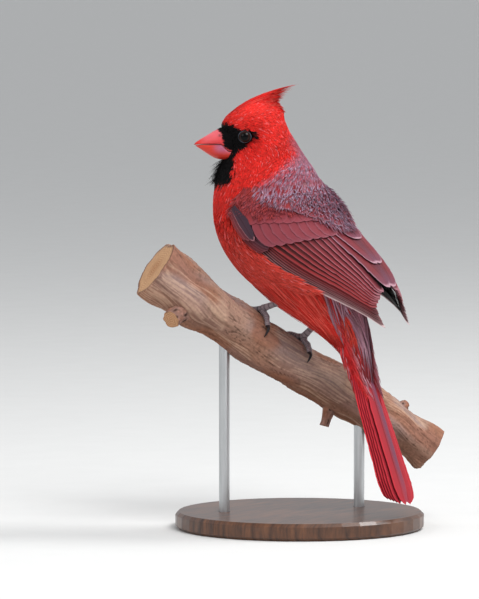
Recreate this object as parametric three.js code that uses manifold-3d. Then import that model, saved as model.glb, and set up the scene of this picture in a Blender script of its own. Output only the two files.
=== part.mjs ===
// A male northern cardinal, life size, perched on a short cut length of branch that a plain
// display stand holds up. Millimetres, +Z up. The bird's body faces -Y and its left side is +X.
// The origin is the middle of the stand's underside, and the underside is the plane Z = 0.
import * as THREE from "three";
import { mergeVertices } from "three/addons/utils/BufferGeometryUtils.js";
import Module from "manifold-3d";

const wasm = await Module();
wasm.setup();

const V3 = THREE.Vector3;
const UP = new V3(0, 0, 1);
const { degToRad, lerp, clamp } = THREE.MathUtils;

// Driving dimensions
const GAP = 0.3; // clearance between neighbouring pieces
const NECK_Y = -23.9; // the upright line that the neck turns about crosses X = 0 here
const HEAD_TURN = 32; // degrees that the head looks to the bird's left
const TAIL_LENGTH = 98.6;
const TAIL_LEAN = 20.4; // degrees that the tail leans back from straight down
const TARSUS_LENGTH = 24;
const EYE_RADIUS = 3.4;
const BRANCH_RADIUS = 10.8;
const BASE_RADIUS = 58;
const BASE_THICKNESS = 8;
const ROD_RADIUS = 2.5;
const ROUND = 24; // sides of a section through the body
const VANE_THICKNESS = 0.5;
const WELD = 1e-3;

// Sections through the plumage from crown to vent. Reach is how far the middle stands forward of
// the neck line, height is its Z, and depth and width are half sizes.
const BODY_KEYS = ["reach", "height", "tilt", "turn", "depth", "width", "taper"];
const BODY = [
  [-1.5, 199.2, 4, HEAD_TURN, 3.0, 2.4, 0.1],
  [0.7, 197.0, 4, HEAD_TURN, 7.2, 5.4, 0.15],
  [1.6, 194.2, 4, HEAD_TURN, 11.3, 8.6, 0.2],
  [2.3, 191.2, 4, HEAD_TURN, 13.8, 10.5, 0.22],
  [2.2, 187.4, 4, HEAD_TURN, 15.4, 11.8, 0.24],
  [0.8, 183.5, 4, HEAD_TURN, 15.7, 12.6, 0.24],
  [-1.2, 179.3, 5, HEAD_TURN, 16.2, 13.8, 0.2],
  [-2.3, 175.1, 5, HEAD_TURN, 17.6, 15.2, 0.15],
  [-2.2, 170.7, 5, HEAD_TURN, 20.4, 17.0, 0.1],
  [-2.9, 165.6, 6, 26, 22.9, 19.0, 0.05],
  [-4.4, 160.0, 6, 19, 25.0, 20.6, 0],
  [-6.7, 153.3, 6, 11, 28.0, 22.2, 0],
  [-10.0, 146.0, 6, 4, 31.0, 23.6, 0],
  [-13.6, 138.8, 7, 0, 32.4, 24.5, 0],
  [-18.0, 130.9, 8, 0, 32.0, 24.2, 0],
  [-23.1, 122.8, 9, 0, 29.5, 22.8, 0],
  [-29.1, 115.1, 10, 0, 25.0, 20.4, 0],
  [-36.4, 108.6, 12, 0, 19.4, 17.2, 0],
  [-43.6, 104.0, 13, 0, 13.6, 13.6, 0],
  [-48.4, 100.4, 13, 0, 9.0, 9.6, 0],
];
const LAST = BODY.length - 1;
const THROAT = 8; // the cut between head and neck
const SHOULDER = 10; // the cut between neck and torso

// Sections of the smooth form that the folded wings lie on, from nape to wing tips
const WING_FORM = [
  [-4.4, 160.0, 6, 19, 25.2, 20.8, 0],
  [-6.7, 153.3, 6, 11, 28.2, 22.4, 0],
  [-10.1, 146.0, 6, 4, 31.4, 23.9, 0],
  [-14.2, 138.8, 7, 0, 33.2, 25.0, 0],
  [-19.8, 130.9, 8, 0, 34.1, 25.2, 0],
  [-29.4, 122.3, 9, 0, 33.0, 24.6, 0],
  [-41.6, 114.9, 10, 0, 27.3, 22.6, 0],
  [-54.6, 107.9, 13, 0, 19.0, 19.8, 0],
  [-66.8, 101.2, 15, 0, 11.0, 15.9, 0],
  [-78.2, 93.3, 18, 0, 5.2, 11.9, 0],
  [-86.8, 86.5, 18, 0, 4.8, 8.6, 0],
];

// Each number of the rows at t, where whole numbers are the rows themselves and a smooth cubic
// runs through them.
function rowAt(rows, t) {
  const i = clamp(Math.floor(t), 0, rows.length - 2);
  const u = t - i;
  const [a, b, c, d] = [i - 1, i, i + 1, i + 2].map((k) => rows[clamp(k, 0, rows.length - 1)]);
  return Object.fromEntries(
    BODY_KEYS.map((key, k) => [
      key,
      0.5 *
        (2 * b[k] +
          (c[k] - a[k]) * u +
          (2 * a[k] - 5 * b[k] + 4 * c[k] - d[k]) * u * u +
          (3 * b[k] - a[k] - 3 * c[k] + d[k]) * u * u * u),
    ]),
  );
}

// The ways forward and left of a part that is turned to the bird's left
function facing(turn) {
  const a = degToRad(turn);
  return {
    forward: new V3(Math.sin(a), -Math.cos(a), 0),
    left: new V3(Math.cos(a), Math.sin(a), 0),
  };
}

// A point of a section: angle 0 is the bird's left side, 90 the back and -90 the front
function formPoint(rows, t, angle, grow = 0) {
  const row = rowAt(rows, t);
  const { forward, left } = facing(row.turn);
  const tilt = degToRad(row.tilt);
  const back = forward.clone().multiplyScalar(-Math.cos(tilt)).addScaledVector(UP, Math.sin(tilt));
  const a = degToRad(angle);
  const wide = (row.width + grow) * (1 + row.taper * Math.sin(a));
  return new V3(0, NECK_Y, row.height)
    .addScaledVector(forward, row.reach)
    .addScaledVector(left, wide * Math.cos(a))
    .addScaledVector(back, (row.depth + grow) * Math.sin(a));
}

function formNormal(rows, t, angle) {
  const p = formPoint(rows, t, angle);
  const along = formPoint(rows, t + 0.02, angle).sub(p);
  const round = formPoint(rows, t, angle + 0.5).sub(p);
  return along.cross(round).normalize();
}

// Closed solids
function solidOf(vertices, faces) {
  const positions = new Float32Array(vertices.flatMap((v) => [v.x, v.y, v.z]));
  const g = new THREE.BufferGeometry();
  g.setAttribute("position", new THREE.BufferAttribute(positions, 3));
  g.setIndex(faces);
  return fromGeometry(g);
}

function fromGeometry(geometry) {
  const g = geometry.clone();
  g.deleteAttribute("normal");
  g.deleteAttribute("uv");
  const merged = mergeVertices(g, WELD);
  const made = new wasm.Manifold(
    new wasm.Mesh({
      numProp: 3,
      vertProperties: merged.attributes.position.array,
      triVerts: new Uint32Array(merged.index.array),
    }),
  );
  return made;
}

// A skin over closed rings of equal count, with a fan to a middle point at each end. The rings
// run anticlockwise as seen from the far end.
function loft(rings, startPole, endPole) {
  const n = rings[0].length;
  const vertices = rings.flat();
  const faces = [];
  for (let r = 0; r < rings.length - 1; r++) {
    for (let k = 0; k < n; k++) {
      const a = r * n + k;
      const b = r * n + ((k + 1) % n);
      faces.push(a, b, b + n, a, b + n, a + n);
    }
  }
  const middle = (ring) => ring.reduce((s, p) => s.add(p), new V3()).divideScalar(n);
  const start = vertices.push(startPole ?? middle(rings[0])) - 1;
  const end = vertices.push(endPole ?? middle(rings.at(-1))) - 1;
  const top = (rings.length - 1) * n;
  for (let k = 0; k < n; k++) {
    const next = (k + 1) % n;
    faces.push(start, next, k, end, top + k, top + next);
  }
  const made = solidOf(vertices, faces);
  return made.volume() < 0 ? solidOf(vertices, flipped(faces)) : made;
}

// A plate between two grids of places that are alike in size
function plate(outer, inner) {
  const [rows, columns] = [outer.length, outer[0].length];
  const half = rows * columns;
  const faces = [];
  const at = (r, c) => r * columns + c;
  const quad = (a, b, c, d) => faces.push(a, b, c, a, c, d);
  for (let r = 0; r < rows - 1; r++) {
    for (let c = 0; c < columns - 1; c++) {
      const [p, q, u, v] = [at(r, c), at(r, c + 1), at(r + 1, c + 1), at(r + 1, c)];
      quad(p, q, u, v);
      faces.push(p + half, u + half, q + half, p + half, v + half, u + half);
    }
  }
  const border = [
    ...range(columns - 1).map((c) => at(0, c)),
    ...range(rows - 1).map((r) => at(r, columns - 1)),
    ...range(columns - 1).map((c) => at(rows - 1, columns - 1 - c)),
    ...range(rows - 1).map((r) => at(rows - 1 - r, 0)),
  ];
  border.forEach((p, i) => {
    const q = border[(i + 1) % border.length];
    quad(q, p, p + half, q + half);
  });
  const vertices = [...outer.flat(), ...inner.flat()];
  const made = solidOf(vertices, faces);
  return made.volume() < 0 ? solidOf(vertices, flipped(faces)) : made;
}

function flipped(faces) {
  const out = faces.slice();
  for (let i = 0; i < out.length; i += 3) [out[i + 1], out[i + 2]] = [out[i + 2], out[i + 1]];
  return out;
}

const range = (n) => Array.from({ length: n }, (_, i) => i);
const steps = (from, to, count) => range(count + 1).map((i) => lerp(from, to, i / count));

function formSolid(rows, from, to, count, { grow = 0, sides = ROUND, startPole, endPole } = {}) {
  const rings = steps(from, to, count).map((t) =>
    range(sides).map((k) => formPoint(rows, t, (360 * k) / sides, grow)),
  );
  return loft(rings, startPole, endPole);
}

// A thin vane. Each station has a middle point p, a way across, a way out, a half width and the
// drop from its near edge to its far edge.
function vane(stations, thick) {
  const rings = stations.map(({ p, across, out, half, drop = 0 }) => {
    const edge = (side, face) =>
      p
        .clone()
        .addScaledVector(across, side * half)
        .addScaledVector(out, (face * thick) / 2 - (side * drop) / 2);
    return [edge(-1, 1), edge(1, 1), edge(1, -1), edge(-1, -1)];
  });
  return loft(rings);
}

// The half width of a feather from root to tip: it widens quickly, stays nearly even, rounds off
function featherWidth(u, blunt = 0.8) {
  const root = Math.min(1, 0.55 + u * 1.6);
  const tip = u < blunt ? 1 : Math.sqrt(Math.max(0, 1 - ((u - blunt) / (1.02 - blunt)) ** 2));
  return Math.max(0.16, root * tip);
}

// Places on the wing form of the bird's left (1) or right (-1) side. Angles are those of the left.
const onSide = (side, angle) => (side > 0 ? angle : 180 - angle);
const wingPoint = (side, t, angle) => formPoint(WING_FORM, t, onSide(side, angle));
const wingNormal = (side, t, angle) => formNormal(WING_FORM, t, onSide(side, angle));

// A feather that lies on the wing form from one place (t, angle) to another
function wingFeather(side, { from, to, half, lift, bow = 0, drop, stations = 4, blunt = 0.8 }) {
  const place = (v) => [lerp(from[0], to[0], v), lerp(from[1], to[1], v) - bow * Math.sin(Math.PI * v)];
  const line = steps(0, 1, stations).map((u) => {
    const v = u ** 0.9;
    const p = wingPoint(side, ...place(v));
    const ahead = wingPoint(side, ...place(v + 0.01));
    const out = wingNormal(side, ...place(v));
    const along = ahead.sub(p).normalize();
    const across = out.clone().cross(along).normalize();
    const raised = lerp(lift[0], lift[1], u);
    const fall = drop * Math.min(1, 0.3 + 2 * u) * featherWidth(v, blunt);
    p.addScaledVector(out, raised - fall / 2);
    return { p, across, out, half: half * featherWidth(v, blunt), drop: side * fall };
  });
  return vane(line, VANE_THICKNESS);
}

const join = (solids) => solids.reduce((sum, s) => sum.add(s));
const largest = (solid) =>
  solid.decompose().reduce((best, s) => (s.volume() > best.volume() ? s : best));

// Wing
const WING_TOP_CUT = 0.25; // each wing stops this far from the middle line

function wingArm(side) {
  // A thick patch on the wing form: the arm and the small feathers over it
  const [nAlong, nAcross] = [6, 5];
  const place = (a, b) => {
    const low = [lerp(1.3, 4.0, a), lerp(-23, -7, a)];
    const high = [lerp(0.3, 3.7, a), lerp(24, 76, a)];
    const bow = 0.5 * Math.sin(Math.PI * b) * (1 - a);
    return [lerp(low[0], high[0], b) - bow, lerp(low[1], high[1], b)];
  };
  const grid = (height) =>
    steps(0, 1, nAlong).map((a) =>
      steps(0, 1, nAcross).map((b) => {
        const [t, angle] = place(a, b);
        const dome = (1 - (2 * a - 1) ** 4) * (1 - (2 * b - 1) ** 4);
        return wingPoint(side, t, angle).addScaledVector(wingNormal(side, t, angle), height(dome));
      }),
    );
  const outer = grid((dome) => 0.9 + 1.3 * dome);
  const inner = grid((dome) => 0.3 - 0.9 * dome);
  return plate(outer, inner);
}

// Rows of feathers, each from its first (outermost or lowest) to its last: where the roots and the
// tips lie as (t, angle) on the wing form, and how high the showing edge of root and tip stands off
// it. The hidden edge of each feather dives under the next by `drop`, so the vanes keep apart.
const WING_ROWS = [
  { // primaries
    count: 6,
    from: [[3.2, -7], [3.0, 6]],
    to: [[8.75, 35], [8.1, 46]],
    bow: [8, 1],
    half: 2.5,
    lift: [[0.5, -1.0], [0.5, 1.0]],
    drop: 2.6,
    blunt: 0.72,
  },
  { // secondaries
    count: 5,
    from: [[3.0, 9], [2.8, 54]],
    to: [[7.8, 51], [7.2, 66]],
    half: 2.7,
    lift: [[0.5, 0.9], [0.2, 2.2]],
    drop: 3.2,
    blunt: 0.85,
  },
  { // tertials
    count: 3,
    from: [[2.4, 60], [1.6, 71]],
    to: [[7.0, 78], [4.3, 83]],
    half: 4.2,
    lift: [[0.3, 3.6], [0.5, 2.0]],
    drop: 1.8,
    stations: 5,
  },
  { // greater coverts
    count: 6,
    from: [[2.2, 2], [2.6, 60]],
    to: [[3.95, 13], [3.7, 71]],
    half: 3.6,
    lift: [[0.5, 2.4], [0.2, 1.6]],
    drop: 1.5,
    blunt: 0.7,
    stations: 3,
  },
  { // median coverts
    count: 5,
    from: [[1.2, -4], [1.4, 52]],
    to: [[2.2, 0], [2.35, 62]],
    half: 3.6,
    lift: [[0.5, 3.2], [0.3, 1.9]],
    drop: 1.1,
    blunt: 0.55,
    stations: 3,
  },
  { // primary coverts
    count: 2,
    from: [[2.6, -13], [2.4, -5]],
    to: [[4.2, -2], [3.95, 8]],
    half: 2.3,
    lift: [[0.4, 1.8], [0.4, 2.2]],
    drop: 1.7,
    blunt: 0.6,
    stations: 3,
  },
  { // thumb feathers
    count: 2,
    from: [[1.9, -18], [1.7, -11]],
    to: [[3.4, -8], [3.2, -1]],
    half: 2.0,
    lift: [[0.6, 2.7], [0.6, 3.2]],
    drop: 1.4,
    blunt: 0.5,
    stations: 3,
  },
];

const between = ([first, last], s) => first.map((v, i) => lerp(v, last[i], s));

function wingFeathers(side) {
  return WING_ROWS.flatMap(({ count, from, to, lift, bow = [0, 0], ...shared }) =>
    steps(0, 1, count - 1).map((s) =>
      wingFeather(side, {
        ...shared,
        from: between(from, s),
        to: between(to, s),
        lift: between(lift, s),
        bow: lerp(bow[0], bow[1], s),
      }),
    ),
  );
}

function makeWing(side, torsoClear) {
  const whole = join([wingArm(side), ...wingFeathers(side)]);
  return largest(whole.subtract(torsoClear).trimByPlane([side, 0, 0], WING_TOP_CUT));
}

// Tail
const TAIL_ROOT = new V3(0, 24.5, 106.5);
const TAIL_ALONG = new V3(0, Math.sin(degToRad(TAIL_LEAN)), -Math.cos(degToRad(TAIL_LEAN)));
const TAIL_OUT = new V3(0, Math.cos(degToRad(TAIL_LEAN)), Math.sin(degToRad(TAIL_LEAN)));
const ACROSS = new V3(1, 0, 0);

const tailPlace = (s, x, out) =>
  TAIL_ROOT.clone().addScaledVector(TAIL_ALONG, s).addScaledVector(ACROSS, x).addScaledVector(TAIL_OUT, out);

function tailFeather({ s0, s1, x0, x1, half, out0, out1, drop = 0, count = 4, blunt = 0.86 }) {
  return vane(
    steps(0, 1, count).map((u) => ({
      p: tailPlace(lerp(s0, s1, u), lerp(x0, x1, u), lerp(out0, out1, u)),
      across: ACROSS,
      out: TAIL_OUT,
      half: half * featherWidth(u, blunt),
      drop: drop * Math.min(1, 2 * u),
    })),
    VANE_THICKNESS,
  );
}

function tailCore() {
  // The fleshy root and the down under the coverts, from inside the rump to where it thins out
  const CORE = [
    [-8, 7.0, 4.5, 5.5],
    [6, 9.0, 5.0, 6.5],
    [20, 9.2, 3.6, 5.0],
    [34, 8.2, 1.8, 2.6],
    [46, 6.0, 0.5, 0.9],
  ];
  const rings = CORE.map(([s, wide, over, under]) =>
    range(14).map((k) => {
      const a = (2 * Math.PI * k) / 14;
      const out = Math.sin(a) > 0 ? over : under;
      return tailPlace(s, wide * Math.cos(a), out * Math.sin(a) - 1.2);
    }),
  );
  return loft(rings);
}

function makeTail(torsoClear) {
  const pieces = [tailCore()];
  const PAIRS = 6;
  for (let k = 0; k < PAIRS; k++) {
    for (const side of [-1, 1]) {
      // The middle pair lies on top and each next pair lies lower and further out
      const middle = k === 0 ? 0.4 * side : 0;
      const shift = k === 0 ? 0 : 1.3;
      pieces.push(
        tailFeather({
          s0: 12,
          s1: TAIL_LENGTH - 0.9 * k,
          x0: side * (0.5 + 0.7 * k),
          x1: side * (2.6 + 0.98 * k + shift),
          half: 4.7,
          out0: 0.6 - 0.4 * k + middle,
          out1: 1.6 - 0.8 * k + middle,
          drop: side * (k === 0 ? 0.3 : 0.9),
        }),
      );
    }
  }
  // Tiers of coverts over and under the root
  const TIERS = [
    { count: 3, s0: 22, s1: 46, spread: 4.5, half: 3.6, out: 2.9, under: -3.4 },
    { count: 3, s0: 12, s1: 36, spread: 6.0, half: 4.2, out: 4.0, under: -4.8 },
    { count: 4, s0: 2, s1: 26, spread: 7.4, half: 4.2, out: 4.9, under: -6.6 },
  ];
  for (const { count, s0, s1, spread, half, out, under } of TIERS) {
    for (let k = 0; k < count; k++) {
      const w = (2 * k) / (count - 1) - 1;
      const fall = 1.6 * w * w;
      const shared = { s0, s1: s1 - 2.5 * Math.abs(w), x0: 0.8 * spread * w, x1: spread * w, half, count: 3, blunt: 0.55 };
      pieces.push(
        tailFeather({ ...shared, out0: out - 1.6 - fall, out1: out - 1.6 - fall, drop: 0.9 * w }),
        tailFeather({ ...shared, out0: under + 1.2 + fall, out1: under + 2.6 + fall, drop: -0.9 * w }),
      );
    }
  }
  return largest(join(pieces).subtract(torsoClear));
}

// Head
const HEAD = facing(HEAD_TURN);
// A place in the turned head: forward of the neck line, to its left, and height
const headPlace = (forward, left, height) =>
  new V3(0, NECK_Y, height).addScaledVector(HEAD.forward, forward).addScaledVector(HEAD.left, left);

const EYE = { forward: 5.1, left: 9.5, height: 182.3 };
const eyeCentre = (side) => headPlace(EYE.forward, side * EYE.left, EYE.height);

function ball(centre, radius, detail = 12) {
  const g = new THREE.SphereGeometry(radius, detail, Math.round(detail * 0.7));
  g.translate(centre.x, centre.y, centre.z);
  return fromGeometry(g);
}

function lidRing(side) {
  const g = new THREE.TorusGeometry(EYE_RADIUS + 0.1, 0.75, 5, 14);
  const outward = HEAD.left.clone().multiplyScalar(side).addScaledVector(HEAD.forward, 0.18).normalize();
  g.applyQuaternion(new THREE.Quaternion().setFromUnitVectors(UP, outward));
  const p = eyeCentre(side).addScaledVector(outward, 1.55);
  g.translate(p.x, p.y, p.z);
  return fromGeometry(g);
}

// A tapered, flattened lock through three places, as a lofted diamond section
function lock([a, b, c], wide, deep, sideways, count = 3) {
  const curve = new THREE.QuadraticBezierCurve3(a, b, c);
  const rings = steps(0, 1, count).map((u) => {
    const p = curve.getPoint(u);
    const along = curve.getTangent(u);
    const across = sideways.clone().addScaledVector(along, -sideways.dot(along)).normalize();
    const out = along.clone().cross(across).normalize();
    const size = Math.max(0.12, (1 - u ** 2.2) * (0.75 + 0.5 * u));
    return [
      p.clone().addScaledVector(across, wide * size),
      p.clone().addScaledVector(out, deep * size),
      p.clone().addScaledVector(across, -wide * size),
      p.clone().addScaledVector(out, -deep * size),
    ];
  });
  return loft(rings);
}

function crestLocks() {
  // Root, middle and tip of each lock in the head's side view, as forward and height
  const ROWS = [
    { root: [13.5, 189.5], mid: [2.5, 202.6], tip: [-15.6, 206.3], spread: 2.0 },
    { root: [8.5, 193.0], mid: [-0.5, 201.6], tip: [-14.0, 204.2], spread: 2.7 },
    { root: [3.0, 194.5], mid: [-4.0, 200.6], tip: [-12.4, 201.4], spread: 3.4 },
    { root: [-2.0, 194.2], mid: [-6.8, 198.8], tip: [-11.9, 198.0], spread: 4.0 },
    { root: [-6.5, 191.0], mid: [-10.2, 195.4], tip: [-12.9, 193.6], spread: 4.6 },
  ];
  return ROWS.flatMap(({ root, mid, tip, spread }, k) =>
    [-1, 0, 1].map((w) =>
      lock(
        [
          headPlace(root[0], 1.25 * spread * w, root[1] - 0.6 * Math.abs(w)),
          headPlace(mid[0], 0.9 * spread * w, mid[1] - 1.2 * Math.abs(w)),
          headPlace(tip[0] + 0.8 * Math.abs(w), 0.16 * spread * w, tip[1] - 0.7 * Math.abs(w)),
        ],
        2.7 - 0.1 * k,
        1.15,
        HEAD.left,
      ),
    ),
  );
}

function chinLocks() {
  // The bristly feathers of the bib, which stand out below the bill
  const locks = [];
  for (let row = 0; row < 3; row++) {
    for (const w of row === 1 ? [-0.5, 0.5] : [-1, 0, 1]) {
      const height = 171.5 - 4.2 * row;
      const root = headPlace(15.0 - 1.2 * Math.abs(w), 4.2 * w, height);
      locks.push(
        lock(
          [
            root,
            headPlace(18.6 - 1.6 * Math.abs(w), 4.8 * w, height - 1.2),
            headPlace(20.6 - 1.6 * Math.abs(w) - 0.4 * row, 4.6 * w, height - 5.6),
          ],
          1.5,
          0.7,
          HEAD.left,
          2,
        ),
      );
    }
  }
  return locks;
}

// Bill: heights of the top ridge, the mouth line and the keel, and half width, along its length
const BILL_KEYS = [
  { forward: 9.5, top: 187.4, mouth: 174.8, keel: 170.9, half: 6.6 },
  { forward: 13.5, top: 186.8, mouth: 174.8, keel: 170.9, half: 6.5 },
  { forward: 16.6, top: 186.1, mouth: 178.1, keel: 171.1, half: 6.1 },
  { forward: 20.0, top: 184.8, mouth: 178.4, keel: 171.9, half: 5.2 },
  { forward: 23.5, top: 182.7, mouth: 178.4, keel: 173.9, half: 4.1 },
  { forward: 26.5, top: 180.9, mouth: 178.3, keel: 175.9, half: 2.7 },
  { forward: 28.8, top: 179.4, mouth: 178.0, keel: 177.4, half: 1.2 },
];

function mandible(upper) {
  const sides = 12;
  const rings = BILL_KEYS.map(({ forward, top, mouth, keel, half }) => {
    const line = mouth + (upper ? GAP / 2 : -GAP / 2);
    const reach = upper ? top - line : keel - line;
    return range(sides).map((k) => {
      // The first half goes over the ridge or the keel and the rest returns along the mouth line
      if (k < 8) {
        const a = (Math.PI * k) / 7;
        const square = Math.sin(a) ** 0.85;
        return headPlace(forward, half * Math.cos(a), line + reach * square);
      }
      const w = (k - 7) / 5;
      return headPlace(forward, lerp(-half, half, w), line);
    });
  });
  const tip = headPlace(upper ? 30.0 : 29.2, 0, upper ? 178.1 : 177.6);
  return loft(rings, undefined, tip);
}

function nostril(side) {
  const g = new THREE.SphereGeometry(0.75, 8, 6);
  g.scale(1.5, 1, 1);
  g.rotateZ(degToRad(HEAD_TURN - 90));
  const p = headPlace(17.4, side * 4.55, 183.2);
  g.translate(p.x, p.y, p.z);
  return fromGeometry(g);
}

// Perch: a straight axis with a gentle bow, lumpy bark and a few cut twigs
const PERCH_MID = new V3(0.25, -9.8, 79.2);
const PERCH_SLOPE = 33.5; // degrees below level, towards the bird's right and back
const PERCH_HEADING = new V3(-0.813, 0.582, 0).normalize();
const PERCH_ALONG = PERCH_HEADING.clone()
  .multiplyScalar(Math.cos(degToRad(PERCH_SLOPE)))
  .addScaledVector(UP, -Math.sin(degToRad(PERCH_SLOPE)));
const PERCH_SIDE = new V3().crossVectors(UP, PERCH_HEADING).normalize(); // away from the tail
const PERCH_TOP = new V3().crossVectors(PERCH_ALONG, PERCH_SIDE).normalize();
const PERCH_ENDS = [-76, 86];

function perchMiddle(s) {
  const bow = 1.6 * Math.sin((Math.PI * s) / 90) - 1.1 * Math.cos((Math.PI * s) / 70) + 1.1;
  return PERCH_MID.clone().addScaledVector(PERCH_ALONG, s).addScaledVector(PERCH_TOP, bow);
}

// The bark's distance from the middle at angle a, where 0 is the side away from the tail and 90 is
// the top. Under the feet it stays nearly even.
function perchRadius(s, a) {
  const r = degToRad(a);
  const calm = Math.exp(-(((s - 2) / 30) ** 2));
  const lumps =
    0.9 * Math.sin(0.11 * s + 2 * r) +
    0.6 * Math.sin(0.23 * s - 3 * r + 1) +
    0.45 * Math.sin(5 * r + 0.05 * s) +
    0.3 * Math.sin(9 * r - 0.08 * s + 2);
  const knot = 2.2 * Math.exp(-(((s + 52) / 9) ** 2)) * Math.max(0, Math.cos(r - degToRad(230)));
  const flare = 1.6 * Math.exp(-(((s + 70) / 24) ** 2));
  return BRANCH_RADIUS + (1 - 0.7 * calm) * lumps + knot + flare - 0.008 * s;
}

function perchPoint(s, a, grow = 0) {
  const r = degToRad(a);
  const size = perchRadius(s, a) + grow;
  return perchMiddle(s)
    .addScaledVector(PERCH_SIDE, size * Math.cos(r))
    .addScaledVector(PERCH_TOP, size * Math.sin(r));
}

function branchSolid(grow = 0) {
  const sides = 20;
  const rings = steps(PERCH_ENDS[0], PERCH_ENDS[1], 18).map((s) =>
    range(sides).map((k) => perchPoint(s, (360 * k) / sides, grow)),
  );
  return loft(rings);
}

function tubeAlong(points, radii, sides = 8) {
  const curve = new THREE.CatmullRomCurve3(points);
  const n = (points.length - 1) * 2;
  const frames = curve.computeFrenetFrames(n, false);
  const rings = range(n + 1).map((i) => {
    const u = i / n;
    const p = curve.getPoint(u);
    const at = u * (radii.length - 1);
    const j = Math.min(Math.floor(at), radii.length - 2);
    const size = lerp(radii[j], radii[j + 1], at - j);
    return range(sides).map((k) => {
      const a = (2 * Math.PI * k) / sides;
      return p
        .clone()
        .addScaledVector(frames.normals[i], size * Math.cos(a))
        .addScaledVector(frames.binormals[i], size * Math.sin(a));
    });
  });
  return loft(rings);
}

// A cut twig that leaves the branch at s and angle a
function twig(s, a, length, radius, lean) {
  const root = perchMiddle(s);
  const out = perchPoint(s, a).sub(root).normalize();
  const way = out.addScaledVector(PERCH_ALONG, lean).normalize();
  const at = (d) => root.clone().addScaledVector(way, d);
  return tubeAlong(
    [at(2), at(BRANCH_RADIUS), at(BRANCH_RADIUS + length / 2).addScaledVector(UP, -0.5), at(BRANCH_RADIUS + length)],
    [radius * 1.5, radius * 1.25, radius, radius * 0.92],
    9,
  );
}

// Stand
const RODS = [
  { s: -34, sink: 5 },
  { s: 44, sink: 5 },
];
const rodPlace = (s) => {
  const p = perchMiddle(s);
  return { x: p.x, y: p.y, top: p.z - BRANCH_RADIUS / Math.cos(degToRad(PERCH_SLOPE)) };
};
const ROD_SUNK = 4; // how far a rod goes into the base

function upright(x, y, z0, z1, radius, sides = 14) {
  const g = new THREE.CylinderGeometry(radius, radius, z1 - z0, sides);
  g.rotateX(Math.PI / 2);
  g.translate(x, y, (z0 + z1) / 2);
  return fromGeometry(g);
}

function rodSolid({ s, sink }, grow = 0) {
  const { x, y, top } = rodPlace(s);
  return upright(x, y, BASE_THICKNESS - ROD_SUNK - grow, top + sink + grow, ROD_RADIUS + grow);
}

function baseSolid() {
  const edge = 1.5;
  const profile = [
    [0, 0],
    [BASE_RADIUS - edge, 0],
    [BASE_RADIUS, edge],
    [BASE_RADIUS, BASE_THICKNESS - edge],
    [BASE_RADIUS - edge, BASE_THICKNESS],
    [0, BASE_THICKNESS],
  ].map(([r, z]) => new THREE.Vector2(r, z));
  const g = new THREE.LatheGeometry(profile, 40);
  g.rotateX(Math.PI / 2);
  const made = fromGeometry(g);
  return made;
}

// Legs and feet. Each foot has a joint just above the bark, a hidden heel in the belly feathers
// and four toes that wrap the branch.
const LEGS = [
  { name: "left", s: -21.5, angle: 97, heelWay: new V3(0.02, 0.93, 0.3), toeTurn: 0 },
  { name: "right", s: 3, angle: 97, heelWay: new V3(-0.05, 0.73, 0.68), toeTurn: 0 },
];
const TOE_RADIUS = 1.35;

// A place on the bark that is `out` above it
const onBark = (s, a, out) => perchPoint(s, a, out);

function legParts(leg) {
  const joint = onBark(leg.s, leg.angle, 3.0);
  const heel = joint.clone().addScaledVector(leg.heelWay.clone().normalize(), TARSUS_LENGTH);
  return { joint, heel };
}

function makeTarsus(leg, torsoClear) {
  const { joint, heel } = legParts(leg);
  const along = heel.clone().sub(joint).normalize();
  const at = (d) => joint.clone().addScaledVector(along, d);
  // Overlapping scutes show as slight steps along the shin
  const scutes = 7;
  const points = range(scutes * 2).map((i) => at(1.9 + (i * (TARSUS_LENGTH - 3)) / (scutes * 2 - 1)));
  const radii = points.map((_, i) => 1.25 + (i % 2 ? 0 : 0.14) + (i < 2 ? 0.25 : 0));
  const rings = points.map((p, i) => {
    const a0 = new V3(1, 0, 0);
    const b0 = new V3().crossVectors(along, a0).normalize();
    return range(10).map((k) => {
      const a = (2 * Math.PI * k) / 10;
      return p
        .clone()
        .addScaledVector(a0, 0.88 * radii[i] * Math.cos(a))
        .addScaledVector(b0, 1.1 * radii[i] * Math.sin(a));
    });
  });
  return largest(loft(rings).subtract(torsoClear));
}

// A toe that leaves the joint and follows the bark: `drift` is how far it shifts along the branch
function toe(leg, { sweep, drift, claw, size }) {
  const { joint } = legParts(leg);
  const count = 4;
  const points = [joint];
  const radii = [1.6 * size];
  for (let i = 1; i <= count; i++) {
    const u = i / count;
    points.push(onBark(leg.s + drift * u ** 0.8, leg.angle + sweep * u, TOE_RADIUS * 0.92 + 0.35 * Math.sin(Math.PI * u)));
    radii.push(TOE_RADIUS * size * (1 - 0.22 * u) * (i % 2 ? 1.06 : 0.94));
  }
  const last = leg.angle + sweep;
  const way = Math.sign(sweep);
  points.push(onBark(leg.s + drift * 1.12, last + way * claw * 0.45, 2.1));
  points.push(onBark(leg.s + drift * 1.2, last + way * claw, 0.9));
  radii.push(0.75 * size, 0.16);
  return tubeAlong(points, radii, 5);
}

function makeFoot(leg, branchClear, legSolid) {
  const { joint } = legParts(leg);
  const TOES = [
    { sweep: 44, drift: 4, claw: 27, size: 0.95 }, // hind toe
    { sweep: -54, drift: 8, claw: 24, size: 0.85 },
    { sweep: -74, drift: 0, claw: 26, size: 0.95 },
    { sweep: -56, drift: -8, claw: 24, size: 0.85 },
  ];
  const pad = ball(joint, 2.0, 10);
  const whole = join([pad, ...TOES.map((t) => toe(leg, t))]);
  return largest(whole.subtract(branchClear).subtract(legSolid));
}

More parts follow.
